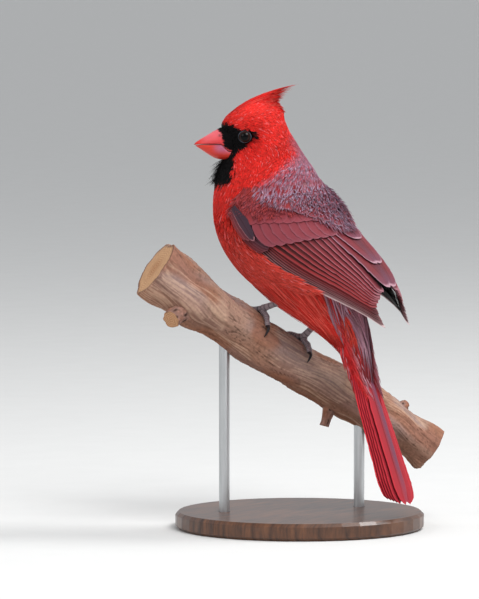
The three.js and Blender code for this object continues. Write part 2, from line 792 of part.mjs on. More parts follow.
// The whole object
function geometryOf(solid) {
  const { numProp, numVert, vertProperties, triVerts } = solid.getMesh();
  const positions = new Float32Array(numVert * 3);
  for (let i = 0; i < numVert; i++) {
    positions.set(vertProperties.subarray(i * numProp, i * numProp + 3), i * 3);
  }
  const g = new THREE.BufferGeometry();
  g.setAttribute("position", new THREE.BufferAttribute(positions, 3));
  g.setIndex(new THREE.BufferAttribute(new Uint32Array(triVerts), 1));
  return g;
}

// Welds points nearer than WELD and keeps the outer surface alone, until nothing more changes
function tidied(solid) {
  const next = largest(fromGeometry(geometryOf(solid)));
  return next.numTri() === solid.numTri() ? next : tidied(next);
}

function meshOf(name, solid, colour, roughness, metalness = 0) {
  const g = geometryOf(tidied(solid));
  const mesh = new THREE.Mesh(g, new THREE.MeshStandardMaterial({ color: colour, roughness, metalness }));
  mesh.name = name;
  return mesh;
}

const RED = 0xd3201c;
const WING_RED = 0x8c3a3c;
const BILL_RED = 0xd8402f;
const SHANK = 0x6d6068;
const BARK = 0x8b6f5a;

const CUT = 0.035; // half the gap at a cut through the body, in rows
const headSolid = formSolid(BODY, 0, THROAT - CUT, 13, { startPole: headPlace(-2.4, 0, 200) });
const neckSolid = formSolid(BODY, THROAT + CUT, SHOULDER - CUT, 4);
const VENT_POLE = new V3(0, 31, 93.5);
const torsoSolid = formSolid(BODY, SHOULDER + CUT, LAST, 16, { endPole: VENT_POLE });
const torsoClear = formSolid(BODY, SHOULDER - 1.5, LAST, 18, {
  grow: GAP,
  endPole: VENT_POLE.clone().add(new V3(0, GAP, -GAP)),
});
const headClear = formSolid(BODY, 0, THROAT, 17, { grow: GAP, startPole: headPlace(-2.4, 0, 200.3) });

const neckClear = formSolid(BODY, THROAT, SHOULDER, 4, { grow: GAP });
const crestedHead = join([headSolid, ...crestLocks(), ...chinLocks(), lidRing(1), lidRing(-1)]);
const sockets = join([ball(eyeCentre(1), EYE_RADIUS + GAP, 12), ball(eyeCentre(-1), EYE_RADIUS + GAP, 12)]);
const billClear = join([mandible(true), mandible(false)]);
const upperBill = largest(mandible(true).subtract(headClear).subtract(nostril(1)).subtract(nostril(-1)));
const lowerBill = largest(mandible(false).subtract(headClear));

const tail = makeTail(torsoClear);

const rodHoles = join(RODS.map((rod) => rodSolid(rod, GAP)));
const branchClear = branchSolid(GAP);
const perch = largest(
  join([branchSolid(), twig(-50, 232, 12, 4.2, -0.5), twig(62, 40, 9, 2.6, 0.4), twig(30, 268, 8, 2.2, 0.3)]).subtract(rodHoles),
);

const group = new THREE.Group();
group.add(
  meshOf("head", largest(crestedHead.subtract(sockets).subtract(neckClear)), RED, 0.75),
  meshOf("neck", neckSolid, RED, 0.75),
  meshOf("torso", torsoSolid, RED, 0.75),
  meshOf("eye_left", ball(eyeCentre(1), EYE_RADIUS), 0x0c0807, 0.08),
  meshOf("eye_right", ball(eyeCentre(-1), EYE_RADIUS), 0x0c0807, 0.08),
  meshOf("bill_upper", upperBill, BILL_RED, 0.4),
  meshOf("bill_lower", lowerBill, BILL_RED, 0.4),
  meshOf("wing_left", makeWing(1, torsoClear), WING_RED, 0.6),
  meshOf("wing_right", makeWing(-1, torsoClear), WING_RED, 0.6),
  meshOf("tail", tail, WING_RED, 0.6),
);
for (const leg of LEGS) {
  const tarsus = makeTarsus(leg, torsoClear);
  const legClear = ball(legParts(leg).joint.clone(), 0.01).add(tarsus);
  group.add(
    meshOf(`leg_${leg.name}`, tarsus, SHANK, 0.6),
    meshOf(`foot_${leg.name}`, makeFoot(leg, branchClear, tarsus), SHANK, 0.6),
  );
}
group.add(
  meshOf("perch", perch, BARK, 0.9),
  meshOf("stand_base", baseSolid().subtract(rodHoles), 0x4a2f1e, 0.5),
  meshOf("stand_rod_high", rodSolid(RODS[0]), 0xb0b2b4, 0.3, 1),
  meshOf("stand_rod_low", rodSolid(RODS[1]), 0xb0b2b4, 0.3, 1),
);

export default group;
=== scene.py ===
# %% [markdown]
# # A male northern cardinal on a cut branch
#
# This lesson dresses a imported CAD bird. The CAD solids give every place and size, and each cell
# below works out one part of the bird as arrays of numbers, puts them into a mesh and gives that
# mesh a finish. Distances are in millimetres until the last moment, when a mesh is made in metres.
# The bird faces -Y, its left side is +X and +Z is up.

import math

import bpy
import numpy as np
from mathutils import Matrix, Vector


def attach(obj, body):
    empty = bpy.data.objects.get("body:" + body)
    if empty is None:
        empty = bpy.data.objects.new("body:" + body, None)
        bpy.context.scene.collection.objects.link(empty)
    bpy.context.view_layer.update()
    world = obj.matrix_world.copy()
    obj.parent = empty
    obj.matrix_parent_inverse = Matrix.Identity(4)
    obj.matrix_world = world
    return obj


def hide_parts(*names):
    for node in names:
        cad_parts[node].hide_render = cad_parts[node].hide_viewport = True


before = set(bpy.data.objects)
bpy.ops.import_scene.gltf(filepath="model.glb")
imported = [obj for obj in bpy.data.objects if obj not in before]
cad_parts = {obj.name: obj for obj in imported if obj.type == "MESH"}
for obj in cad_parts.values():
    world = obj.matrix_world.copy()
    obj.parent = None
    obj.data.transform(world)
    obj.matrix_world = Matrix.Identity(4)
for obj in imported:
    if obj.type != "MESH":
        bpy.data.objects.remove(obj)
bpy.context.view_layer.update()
MM = 0.001

# %% [markdown]
# ## The camera
#
# The photograph was taken from far away, behind the bird's left shoulder and a little above its
# feet. A short lens close by would make the near wing too large, so a long lens stands two and a
# half metres off. The view spans 278.6 mm from top to bottom, and the focal length follows from it:
# sensor size times distance over span.

# %% Camera
VIEW_AZIMUTH = 125.0
VIEW_ELEVATION = 4.0
VIEW_DISTANCE = 2.5
VIEW_HEIGHT = 0.2786
VIEW_CENTRE = Vector((0.0161, -0.0230, 0.1067))
SENSOR_SIZE = 36.0


def away(azimuth, elevation):
    """The way from the object to a viewer: azimuth 0 is in front of the bird, on the -Y side."""
    a, e = math.radians(azimuth), math.radians(elevation)
    return Vector((math.sin(a) * math.cos(e), -math.cos(a) * math.cos(e), math.sin(e)))


def aim(thing, azimuth, elevation, distance):
    """Puts a camera or a lamp at centre + way * distance and turns it back along the way."""
    way = away(azimuth, elevation)
    thing.location = VIEW_CENTRE + way * distance
    thing.rotation_euler = (-way).to_track_quat("-Z", "Y").to_euler()


lens = bpy.data.cameras.new("view")
lens.sensor_width = SENSOR_SIZE
lens.lens = SENSOR_SIZE * VIEW_DISTANCE / VIEW_HEIGHT
lens.clip_start = 0.1
lens.clip_end = 200.0
camera = bpy.data.objects.new("view", lens)
bpy.context.collection.objects.link(camera)
aim(camera, VIEW_AZIMUTH, VIEW_ELEVATION, VIEW_DISTANCE)
bpy.context.scene.camera = camera
print("lens", round(lens.lens, 1), "mm")

# %% [markdown]
# ## The form of the body
#
# A bird under its feathers is a stack of ovals. It could be sculpted, but rows of numbers can be set
# against a side view one by one. Each row below is one oval: how far its middle
# stands in front of the neck line, its height, its tilt, how far it is turned to the bird's left,
# half its depth, half its width, and how much narrower its front is than its back. A smooth cubic
# through the rows gives every oval between them.

# %% Rows of the body and of the folded wings
NECK_Y = -23.9
HEAD_TURN = 32.0
BODY = np.array([
    [-1.5, 199.2, 4, HEAD_TURN, 3.0, 2.4, 0.10],
    [0.7, 197.0, 4, HEAD_TURN, 7.2, 5.4, 0.15],
    [1.6, 194.2, 4, HEAD_TURN, 11.3, 8.6, 0.20],
    [2.3, 191.2, 4, HEAD_TURN, 13.8, 10.5, 0.22],
    [2.2, 187.4, 4, HEAD_TURN, 15.4, 11.8, 0.24],
    [0.8, 183.5, 4, HEAD_TURN, 15.7, 12.6, 0.24],
    [-1.2, 179.3, 5, HEAD_TURN, 16.2, 13.8, 0.20],
    [-2.3, 175.1, 5, HEAD_TURN, 17.6, 15.2, 0.15],
    [-2.2, 170.7, 5, HEAD_TURN, 20.4, 17.0, 0.10],
    [-2.9, 165.6, 6, 26, 22.9, 19.0, 0.05],
    [-4.4, 160.0, 6, 19, 25.0, 20.6, 0],
    [-6.7, 153.3, 6, 11, 28.0, 22.2, 0],
    [-10.0, 146.0, 6, 4, 31.0, 23.6, 0],
    [-13.6, 138.8, 7, 0, 32.4, 24.5, 0],
    [-18.0, 130.9, 8, 0, 32.0, 24.2, 0],
    [-23.1, 122.8, 9, 0, 29.5, 22.8, 0],
    [-29.1, 115.1, 10, 0, 25.0, 20.4, 0],
    [-36.4, 108.6, 12, 0, 19.4, 17.2, 0],
    [-43.6, 104.0, 13, 0, 13.6, 13.6, 0],
    [-48.4, 100.4, 13, 0, 9.0, 9.6, 0],
])
WING_FORM = np.array([
    [-4.4, 160.0, 6, 19, 25.2, 20.8, 0],
    [-6.7, 153.3, 6, 11, 28.2, 22.4, 0],
    [-10.1, 146.0, 6, 4, 31.4, 23.9, 0],
    [-14.2, 138.8, 7, 0, 33.2, 25.0, 0],
    [-19.8, 130.9, 8, 0, 34.1, 25.2, 0],
    [-29.4, 122.3, 9, 0, 33.0, 24.6, 0],
    [-41.6, 114.9, 10, 0, 27.3, 22.6, 0],
    [-54.6, 107.9, 13, 0, 19.0, 19.8, 0],
    [-66.8, 101.2, 15, 0, 11.0, 15.9, 0],
    [-78.2, 93.3, 18, 0, 5.2, 11.9, 0],
    [-86.8, 86.5, 18, 0, 4.8, 8.6, 0],
])
LAST_ROW = len(BODY) - 1
UP = np.array([0.0, 0.0, 1.0])


def row_at(rows, t):
    """Each number of the rows at t: half of 2b + (c-a)u + (2a-5b+4c-d)u^2 + (3b-a-3c+d)u^3."""
    t = np.asarray(t, float)
    i = np.clip(np.floor(t).astype(int), 0, len(rows) - 2)
    u = (t - i)[..., None]
    a, b, c, d = (rows[np.clip(i + k, 0, len(rows) - 1)] for k in (-1, 0, 1, 2))
    return 0.5 * (2 * b + (c - a) * u + (2 * a - 5 * b + 4 * c - d) * u**2 + (3 * b - a - 3 * c + d) * u**3)


def facing(turn):
    """The ways forward and left of a part turned to the bird's left by `turn` degrees."""
    turn = np.radians(np.asarray(turn, float))
    level = np.zeros_like(turn)
    forward = np.stack([np.sin(turn), -np.cos(turn), level], -1)
    left = np.stack([np.cos(turn), np.sin(turn), level], -1)
    return forward, left


def form_point(rows, t, angle, grow=0.0):
    """Middle + left * width * cos(angle) + back * depth * sin(angle). Angle 90 is the back."""
    t, angle, grow = np.broadcast_arrays(np.asarray(t, float), angle, grow)
    row = row_at(rows, t)
    forward, left = facing(row[..., 3])
    tilt = np.radians(row[..., 2])[..., None]
    back = -forward * np.cos(tilt) + UP * np.sin(tilt)
    a = np.radians(angle)
    wide = (row[..., 5] + grow) * (1 + row[..., 6] * np.sin(a)) * np.cos(a)
    deep = (row[..., 4] + grow) * np.sin(a)
    middle = np.stack([np.zeros_like(t), np.full_like(t, NECK_Y), row[..., 1]], -1)
    return middle + forward * row[..., :1] + left * wide[..., None] + back * deep[..., None]


def unit(v):
    """Each way divided by its length."""
    return v / np.maximum(np.linalg.norm(v, axis=-1, keepdims=True), 1e-9)


def form_frame(rows, t, angle, grow=0.0):
    """A place, its outward way, and the steps that one row and one degree make there."""
    p = form_point(rows, t, angle, grow)
    along = (form_point(rows, t + 0.01, angle, grow) - form_point(rows, t - 0.01, angle, grow)) / 0.02
    angle = np.asarray(angle)
    around = form_point(rows, t, angle + 0.5, grow) - form_point(rows, t, angle - 0.5, grow)
    return p, unit(np.cross(along, around)), along, around


print("crown", form_point(BODY, 0.0, 90.0).round(1), "vent", form_point(BODY, LAST_ROW, -90.0).round(1))

# %% [markdown]
# ## From arrays to meshes
#
# Every piece is a set of vertex places, a set of faces, and colours and UVs on the same vertices.
# Blender can add vertices one at a time, but a coat of feathers has a million of them, so whole
# arrays go into the mesh at once. A grid of places becomes quads, and a tube gets a fan of
# triangles at each end, which closes it.

# %% Mesh helpers
def grid_faces(row_count, columns, wrap=False):
    """Quads between the places of a grid, joined round the columns when it wraps."""
    last_column = columns if wrap else columns - 1
    r, c = np.meshgrid(np.arange(row_count - 1), np.arange(last_column), indexing="ij")
    following = (c + 1) % columns
    here = r * columns
    below = (r + 1) * columns
    return np.stack([here + c, here + following, below + following, below + c], -1).reshape(-1, 4)


def as_triangles(quads):
    """Each quad is cut from its first corner to its third."""
    return np.concatenate([quads[:, [0, 1, 2]], quads[:, [0, 2, 3]]])


def close_rings(points, start, end):
    """A tube from ring to ring, with a fan of triangles round a middle place at each end."""
    row_count, around = points.shape[:2]
    k = np.arange(around)
    following = (k + 1) % around
    last = (row_count - 1) * around
    flat = np.concatenate([points.reshape(-1, 3), [start, end]])
    start_fan = np.stack([np.full(around, len(flat) - 2), following, k], -1)
    end_fan = np.stack([np.full(around, len(flat) - 1), last + k, last + following], -1)
    walls = as_triangles(grid_faces(row_count, around, wrap=True))
    return flat, np.concatenate([walls, start_fan, end_fan])


def with_ends(rings):
    """The colours of a tube's rings, and for its two middles those of the rings beside them."""
    return np.concatenate([rings.reshape(-1, 3), rings[0, :1], rings[-1, :1]])


def make_mesh(name, material, points, faces, colour, uv=None, uv_name="UVMap"):
    """A mesh object in metres, with a colour and a UV for each vertex. Where the sum of the faces' box
    products is negative, the shape is inside out and its faces are turned."""
    faces = np.asarray(faces)
    corners = points[faces[:, :3]]
    volume = np.einsum("ij,ij->i", corners[:, 0], np.cross(corners[:, 1], corners[:, 2])).sum()
    if volume < 0:
        faces = faces[:, ::-1]
    sides = faces.shape[1]
    mesh = bpy.data.meshes.new(name)
    mesh.vertices.add(len(points))
    mesh.vertices.foreach_set("co", (points * MM).astype(np.float32).ravel())
    mesh.loops.add(faces.size)
    mesh.loops.foreach_set("vertex_index", faces.astype(np.int32).ravel())
    mesh.polygons.add(len(faces))
    mesh.polygons.foreach_set("loop_start", np.arange(0, faces.size, sides, dtype=np.int32))
    mesh.update(calc_edges=True)
    mesh.polygons.foreach_set("use_smooth", np.ones(len(faces), bool))
    rgba = np.ones((len(points), 4), np.float32)
    rgba[:, :3] = colour
    mesh.color_attributes.new("Tint", "FLOAT_COLOR", "POINT").data.foreach_set("color", rgba.ravel())
    if uv is not None:
        layer = mesh.uv_layers.new(name=uv_name)
        layer.data.foreach_set("uv", uv[faces.ravel()].astype(np.float32).ravel())
    mesh.validate()
    mesh.materials.append(material)
    piece = bpy.data.objects.new(name, mesh)
    bpy.context.collection.objects.link(piece)
    return piece


print("a grid of 3 by 3 places has", len(grid_faces(3, 3)), "quads")

# %% [markdown]
# ## A heap of small shapes
#
# A wing has dozens of feathers and a foot has four toes. Each could be an object of its own, but
# one mesh for all shapes of a kind is lighter. The heap collects them and moves each shape's vertex
# numbers past those that are already in it.

# %% Heap
class Heap:
    """Gathers small shapes of one kind until they are made into one mesh."""

    def __init__(self):
        self.points, self.faces, self.colour, self.uv = [], [], [], []
        self.count = 0

    def add(self, points, faces, colour, uv=None):
        """Vertex numbers in the heap are the shape's own plus the vertices before it."""
        self.faces.append(np.asarray(faces) + self.count)
        self.points.append(points)
        self.colour.append(colour)
        self.uv.append(np.zeros((len(points), 2)) if uv is None else uv)
        self.count += len(points)

    def make(self, name, material, uv_name):
        """One mesh of all that was added."""
        lists = (self.points, self.faces, self.colour, self.uv)
        return make_mesh(name, material, *(np.concatenate(parts) for parts in lists), uv_name)


print("heap ready")

# %% [markdown]
# ## Mixing and noise
#
# Nothing on a bird is quite even: a marking has a soft edge, and a red is a little darker here and
# lighter there. A picture of noise would do, but noise worked out from random heights needs no file
# and comes out the same each time, as its seed is fixed.

# %% Mixing and noise
LATTICE_SIZE = 256


def smoothstep(low, high, x):
    """0 up to low, 1 from high on, and between them u^2 * (3 - 2u)."""
    u = np.clip((x - low) / (high - low), 0, 1)
    return u * u * (3 - 2 * u)


def mix(a, b, weight):
    """a * (1 - weight) + b * weight, for colours or places."""
    weight = np.asarray(weight)[..., None]
    return np.asarray(a) * (1 - weight) + np.asarray(b) * weight


def paint(red, green, blue):
    """A screen colour of 0 to 255 a channel as linear light, (v / 255)^2.2."""
    return np.array([(v / 255) ** 2.2 for v in (red, green, blue)])


def value_noise(x, y, seed, period=LATTICE_SIZE):
    """From 0 to 1: random heights on a square lattice, eased between its corners. They repeat along y
    after a period, so that a pattern closes round a branch."""
    heights = np.random.default_rng(seed).random((LATTICE_SIZE, LATTICE_SIZE))
    xi, yi = np.floor(x).astype(int), np.floor(y).astype(int)
    u, v = smoothstep(0, 1, x - xi), smoothstep(0, 1, y - yi)

    def corner(i, j):
        return heights[i % LATTICE_SIZE, j % period]

    low = corner(xi, yi) * (1 - u) + corner(xi + 1, yi) * u
    high = corner(xi, yi + 1) * (1 - u) + corner(xi + 1, yi + 1) * u
    return low * (1 - v) + high * v


print("middle of a smooth step", smoothstep(0, 2, 1.0))

# %% [markdown]
# ## Colours of the plumage
#
# A male cardinal is bright red on the face and breast, duller brick red on the belly, and dull rose
# under grey-lilac feather edges on the nape and back. The colours could be set piece by piece, but
# named once here they stay alike on the skin and on every kind of feather.

# %% Palette and markings
BRIGHT_RED = paint(205, 16, 16)
DEEP_RED = paint(166, 12, 15)
BRICK = paint(194, 56, 48)
PALE_RED = paint(228, 96, 84)
MANTLE_RED = paint(154, 48, 56)
LILAC = paint(152, 128, 148)
MASK_BLACK = paint(9, 7, 9)
HEAD_FORWARD, HEAD_LEFT = facing(HEAD_TURN)


def in_head(points):
    """Forward of the neck line, to the head's left, and height."""
    p = points - np.array([0, NECK_Y, 0])
    return p @ HEAD_FORWARD, p @ HEAD_LEFT, points[..., 2]


def head_place(forward, left, height):
    """Neck line + forward + left + height, the way back from in_head."""
    forward, left, height = (np.asarray(v, float)[..., None] for v in (forward, left, height))
    return np.array([0, NECK_Y, 0]) + (HEAD_FORWARD * forward + HEAD_LEFT * left + UP * height)


print("bright red", BRIGHT_RED.round(3))

# %% [markdown]
# ## The black mask
#
# The mask runs round the bill, reaches the eye and hangs down as a bib. A picture could be wrapped
# round the head for it, but an outline of a few places in the head's side view stays sharp at any
# size. The same test of an outline later finds the feathers that the wing covers.

# %% Mask
# Places forward of the neck line and heights
MASK_OUTLINE = np.array([
    (40.0, 188.3), (17.5, 187.6), (13.7, 187.5), (10.8, 186.1), (8.4, 185.6), (5.0, 186.4), (2.2, 185.2),
    (0.9, 182.8), (1.8, 180.4), (5.0, 178.6), (9.2, 177.5), (11.0, 174.7), (10.7, 172.0), (9.9, 169.9),
    (8.7, 167.2), (10.6, 165.4), (14.2, 163.9), (17.0, 163.2), (40.0, 162.6),
])
MASK_SOFTNESS = 0.35


def outline_sides(outline):
    """Each corner of a closed outline with the next one."""
    return zip(outline, np.roll(outline, -1, 0))


def inside_outline(places, outline):
    """True where a line to one side crosses the outline an odd number of times."""
    inside = np.zeros(places.shape[:-1], bool)
    for a, b in outline_sides(outline):
        crosses = (a[1] > places[..., 1]) != (b[1] > places[..., 1])
        at = a[0] + (places[..., 1] - a[1]) / (b[1] - a[1] + 1e-12) * (b[0] - a[0])
        inside ^= crosses & (places[..., 0] < at)
    return inside


def outline_depth(places, outline):
    """Distance to the nearest side of the outline, positive inside it."""
    nearest = np.full(places.shape[:-1], 1e9)
    for a, b in outline_sides(outline):
        share = np.clip(((places - a) @ (b - a)) / ((b - a) @ (b - a)), 0, 1)
        nearest = np.minimum(nearest, np.linalg.norm(places - a - share[..., None] * (b - a), axis=-1))
    return np.where(inside_outline(places, outline), nearest, -nearest)


def in_mask(points):
    """1 inside the black mask, with an edge that wanders by half a millimetre."""
    forward, _, height = in_head(points)
    wander = value_noise(forward * 0.9 + 30, height * 0.9, 12) - 0.5
    depth = outline_depth(np.stack([forward, height], -1), MASK_OUTLINE)
    return smoothstep(-MASK_SOFTNESS, MASK_SOFTNESS, depth + wander)


print("mask at the chin", in_mask(head_place([14.0], [0.0], [170.0])))

# %% [markdown]
# ## The markings as a whole
#
# Grey feather edges cover the nape and back down to a line that wanders along the flank. Each piece
# could mix its own colours, but one function for the skin and for every feather leaves no seam.

# %% Markings
# How far the grey comes down from the middle of the back, as angles by row
GREY_ROWS = [0, 4, 4.8, 7, 8.5, 9.4, 10.6, 12, 14, 19]
GREY_ANGLES = [99, 84, 73, 53, 33, 6, -9, 8, 26, 50]


def plumage(points, t, angle):
    """Feather colour, fringe colour, greyness and mask at a place: red mixed to the mantle's red by the
    greyness, and both mixed to black by the mask."""
    x, y, z = (points[..., k] for k in range(3))
    wobble = value_noise(y * 0.22 + 40, z * 0.22 + x * 0.1, 3) - 0.5
    from_back = np.abs(((angle + 90) % 360) - 180)
    grey = smoothstep(-10, 22, (90 - np.interp(t, GREY_ROWS, GREY_ANGLES)) - from_back + 22 * wobble)
    grey = grey * smoothstep(3.0, 7.5, t)
    low = smoothstep(10.5, 14.5, t + 2 * wobble)
    red = mix(BRIGHT_RED, BRICK, low)
    red = mix(red, DEEP_RED, 0.3 * smoothstep(0.05, 0.3, wobble))
    feather = mix(red, MANTLE_RED, grey)
    fringe = mix(mix(red, PALE_RED, 0.35 + 0.2 * low), LILAC, grey**0.7)
    mask = in_mask(points)
    return mix(feather, MASK_BLACK, mask), mix(fringe, MASK_BLACK * 1.5, mask), grey, mask


breast = form_point(BODY, 12.0, -90.0)
print("breast colour", plumage(breast, 12.0, -90.0)[0].round(3))

# %% [markdown]
# ## Finishes
#
# Every finish here is a shader with a small pattern in it, so each is built from the same few steps:
# make the material, place a pattern on the object, let it darken the vertices' own colour, and let
# it raise the surface a little. A painted picture would need an unwrap for each piece.

# %% Material helpers
def fill(made, values):
    """Sets a node's input sockets by name."""
    for socket, value in values.items():
        made.inputs[socket].default_value = value
    return made


def new_material(name, roughness=0.6, metallic=0.0, sheen=0.0, coat=0.0, specular=0.5):
    """A material with even values set on the shader's own sockets."""
    material = bpy.data.materials.new(name)
    material.use_nodes = True
    shader = material.node_tree.nodes["Principled BSDF"]
    fill(shader, {"Roughness": roughness, "Metallic": metallic, "Sheen Weight": sheen, "Coat Weight": coat,
                  "Specular IOR Level": specular})
    return material, material.node_tree, shader


def node(tree, kind, **settings):
    """A node with its settings."""
    made = tree.nodes.new(kind)
    for key, value in settings.items():
        setattr(made, key, value)
    return made


def object_coordinates(tree, scale=(1, 1, 1)):
    """Object coordinates, stretched by a Mapping node."""
    source = node(tree, "ShaderNodeTexCoord")
    mapping = fill(node(tree, "ShaderNodeMapping"), {"Scale": scale})
    tree.links.new(source.outputs["Object"], mapping.inputs["Vector"])
    return mapping.outputs["Vector"]


def tinted(tree, shader, factor_output, low, high):
    """Base colour = the vertices' Tint times a value from low to high, as the pattern goes 0 to 1."""
    tint = node(tree, "ShaderNodeVertexColor", layer_name="Tint")
    spread = fill(node(tree, "ShaderNodeMapRange"), {"To Min": low, "To Max": high})
    scale = node(tree, "ShaderNodeVectorMath", operation="SCALE")
    tree.links.new(factor_output, spread.inputs["Value"])
    tree.links.new(tint.outputs["Color"], scale.inputs[0])
    tree.links.new(spread.outputs["Result"], scale.inputs["Scale"])
    tree.links.new(scale.outputs["Vector"], shader.inputs["Base Color"])


def ramped(tree, shader, factor_output, low, high, start=0.0, stop=1.0):
    """Base colour from low to high, as the pattern goes from start to stop."""
    ramp = node(tree, "ShaderNodeValToRGB")
    first, second = ramp.color_ramp.elements
    first.color, second.color = (*low, 1), (*high, 1)
    first.position, second.position = start, stop
    tree.links.new(factor_output, ramp.inputs["Fac"])
    tree.links.new(ramp.outputs["Color"], shader.inputs["Base Color"])


def bumped(tree, shader, height_output, strength, distance):
    """The pattern as a height, for marks too fine to be geometry."""
    bump = fill(node(tree, "ShaderNodeBump"), {"Strength": strength, "Distance": distance})
    tree.links.new(height_output, bump.inputs["Height"])
    tree.links.new(bump.outputs["Normal"], shader.inputs["Normal"])


def noise(tree, vector, scale, detail=3.0, roughness=0.6):
    """Sums of ever finer smooth noise, from 0 to 1."""
    made = node(tree, "ShaderNodeTexNoise")
    fill(made, {"Scale": scale, "Detail": detail, "Roughness": roughness})
    tree.links.new(vector, made.inputs["Vector"])
    return made.outputs["Fac"]


def grained(name, scale, low, high, strength=0.0, distance=0.0001, detail=2.0, fine=0.6, **finish):
    """The vertices' Tint under fine even grain, which may also raise the surface."""
    material, tree, shader = new_material(name, **finish)
    grain = noise(tree, object_coordinates(tree), scale, detail, fine)
    tinted(tree, shader, grain, low, high)
    if strength:
        bumped(tree, shader, grain, strength, distance)
    return material


print("material helpers ready")

# %% [markdown]
# ## Plumage and vanes
#
# Soft plumage is matt with a faint sheen. A flight feather is smoother, and its web is made of
# barbs that slant from the shaft towards the tip. Thousands of barbs as geometry would be heavy, so
# a sine wave over the feather's own UVs, in millimetres, stands in for them.

# %% Feather materials
BARB_SLANT = 1.6
BARB_RATE = 11.0


def math_step(tree, operation, *inputs):
    """A Math node whose inputs are numbers or other nodes' outputs."""
    made = node(tree, "ShaderNodeMath", operation=operation)
    for socket, value in zip(made.inputs, inputs):
        if isinstance(value, float):
            socket.default_value = value
        else:
            tree.links.new(value, socket)
    return made.outputs[0]


def vane_material():
    """Barbs are half of 1 + sin(rate * (u - slant * |v|)), u along the shaft and v across it."""
    material, tree, shader = new_material("vane", roughness=0.6, sheen=0.03, specular=0.15)
    uv = node(tree, "ShaderNodeUVMap", uv_map="Vane")
    split = node(tree, "ShaderNodeSeparateXYZ")
    tree.links.new(uv.outputs["UV"], split.inputs["Vector"])
    slant = math_step(tree, "MULTIPLY", math_step(tree, "ABSOLUTE", split.outputs["Y"]), -BARB_SLANT)
    run = math_step(tree, "ADD", split.outputs["X"], slant)
    wave = math_step(tree, "SINE", math_step(tree, "MULTIPLY", run, BARB_RATE))
    half = math_step(tree, "MULTIPLY_ADD", wave, 0.5, 0.5)
    tinted(tree, shader, half, 0.88, 1.12)
    bumped(tree, shader, half, 0.3, 0.0001)
    return material


PLUMAGE = grained("plumage", 900.0, 0.78, 1.22, roughness=0.8, sheen=0.02, specular=0.08)
VANE = vane_material()
print("materials", [m.name for m in bpy.data.materials])

# %% [markdown]
# ## The skin
#
# Between feathers a little of what lies under them always shows. The CAD head, neck and torso could
# stay there, but they are three plain solids. One closed skin replaces them, a little inside them,
# so that the feathers on it end where the solids do. It is the body's form as a tube of 230 rings,
# and it has the coat's colours darkened as painted shade, the shade that falls between feathers.

# %% Skin
COAT_DEPTH = 1.5
# Painted shade: the skin has the coat's colours darkened by this share, for the gaps between feathers.
PAINTED_SKIN_SHADE = 0.55
UV_MARGIN = 0.01
UV_SPAN = 0.98
VENT_POLE = [0, 31.0, 94.5]


def body_uv(t, angle):
    """The unwrap of the body: degrees round it go across, and rows down it go down."""
    across = (np.asarray(angle) % 360) / 360 * UV_SPAN + UV_MARGIN
    return np.stack([across, 1 - UV_MARGIN - np.asarray(t) / LAST_ROW * UV_SPAN], -1)


T, A = np.meshgrid(np.linspace(0.0, LAST_ROW, 230), np.arange(0, 360, 2.5), indexing="ij")
skin_rings = form_point(BODY, T, A, -COAT_DEPTH)
feather_colour, fringe_colour, _, _ = plumage(skin_rings, T, A)
crown_pole = skin_rings[0].mean(0) + [0, 0, 0.5]
skin_points, skin_faces = close_rings(skin_rings, crown_pole, VENT_POLE)
skin = make_mesh(
    "skin",
    PLUMAGE,
    skin_points,
    skin_faces,
    with_ends(mix(feather_colour, fringe_colour, 0.3) * PAINTED_SKIN_SHADE),
    np.concatenate([body_uv(T, A).reshape(-1, 2), body_uv([0, LAST_ROW], [0, 0])]),
    "OFBake",
)
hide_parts("head", "neck", "torso")
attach(skin, "root")
print("skin", len(skin_points), "vertices")

# %% [markdown]
# ## The lie of the feathers
#
# Feathers point away from the bill. On the crown they sweep back and up into the crest, on the
# cheeks back and down, on the throat straight down, and on the body they follow it to the tail. They
# could be combed by hand, but a table of angles by height gives every root its way at once.

# %% Flow
SWEEP_HEIGHTS = [160, 166, 172, 177, 182, 187, 191, 196, 200]
SWEEP_ANGLES = [-88, -82, -66, -38, -12, 4, 16, 28, 36]
NAPE_DROP = 62


def along_surface(way, normal):
    """The way less its part along the normal, as a unit way."""
    return unit(way - normal * np.einsum("...i,...i->...", way, normal)[..., None])


def lie_of_feathers(points, normal, along, t):
    """Back and up by the sweep of this height on the head, easing into the body's own rows."""
    forward, _, height = in_head(points)
    nape = smoothstep(3, -9, forward) * smoothstep(199, 190, height)
    sweep = np.radians(np.interp(height, SWEEP_HEIGHTS, SWEEP_ANGLES) - NAPE_DROP * nape)
    head = -HEAD_FORWARD * np.cos(sweep)[..., None] + UP * np.sin(sweep)[..., None]
    return along_surface(mix(head, unit(along), smoothstep(7.0, 10.5, t)), normal)


print("sweep from", SWEEP_ANGLES[0], "to", SWEEP_ANGLES[-1], "degrees")

# %% [markdown]
# ## One contour feather
#
# A contour feather is soft: its barbs hang together near the shaft and part at the tip. Hair would
# look like fur, and a flat card like a fish scale. Here it is a fan of a few pointed blades that
# start together under the coat. Each blade has three triangular sections and a point, which keeps
# it closed and light.

# %% Blades
SECTION_U = np.array([0.0, 0.35, 0.72, 1.0])
SECTION_WIDTH = np.array([0.42, 0.62, 0.46, 0.0])
# Painted shade: each blade is darkened towards its root, where other feathers lie over it, and is a little
# lighter at its tip.
PAINTED_ROOT_SHADE = np.array([0.5, 0.8, 1.0, 1.06])
BLADE_POINTS = 10
LEAST_THICKNESS = 0.03


def strand_faces(sections):
    """A base triangle, bands of three quads between triangular sections, and a point."""
    faces = [[0, 2, 1]]
    for r in range(0, 3 * (sections - 2), 3):
        for k in range(3):
            n = (k + 1) % 3
            faces += [[r + k, r + n, r + 3 + n], [r + k, r + 3 + n, r + 3 + k]]
    end = 3 * (sections - 2)
    faces += [[end + k, end + (k + 1) % 3, end + 3] for k in range(3)]
    return np.array(faces)


def repeated(faces, points_each, count):
    """The faces of many like shapes, one after another."""
    return (faces[None] + points_each * np.arange(count)[:, None, None]).reshape(-1, 3)


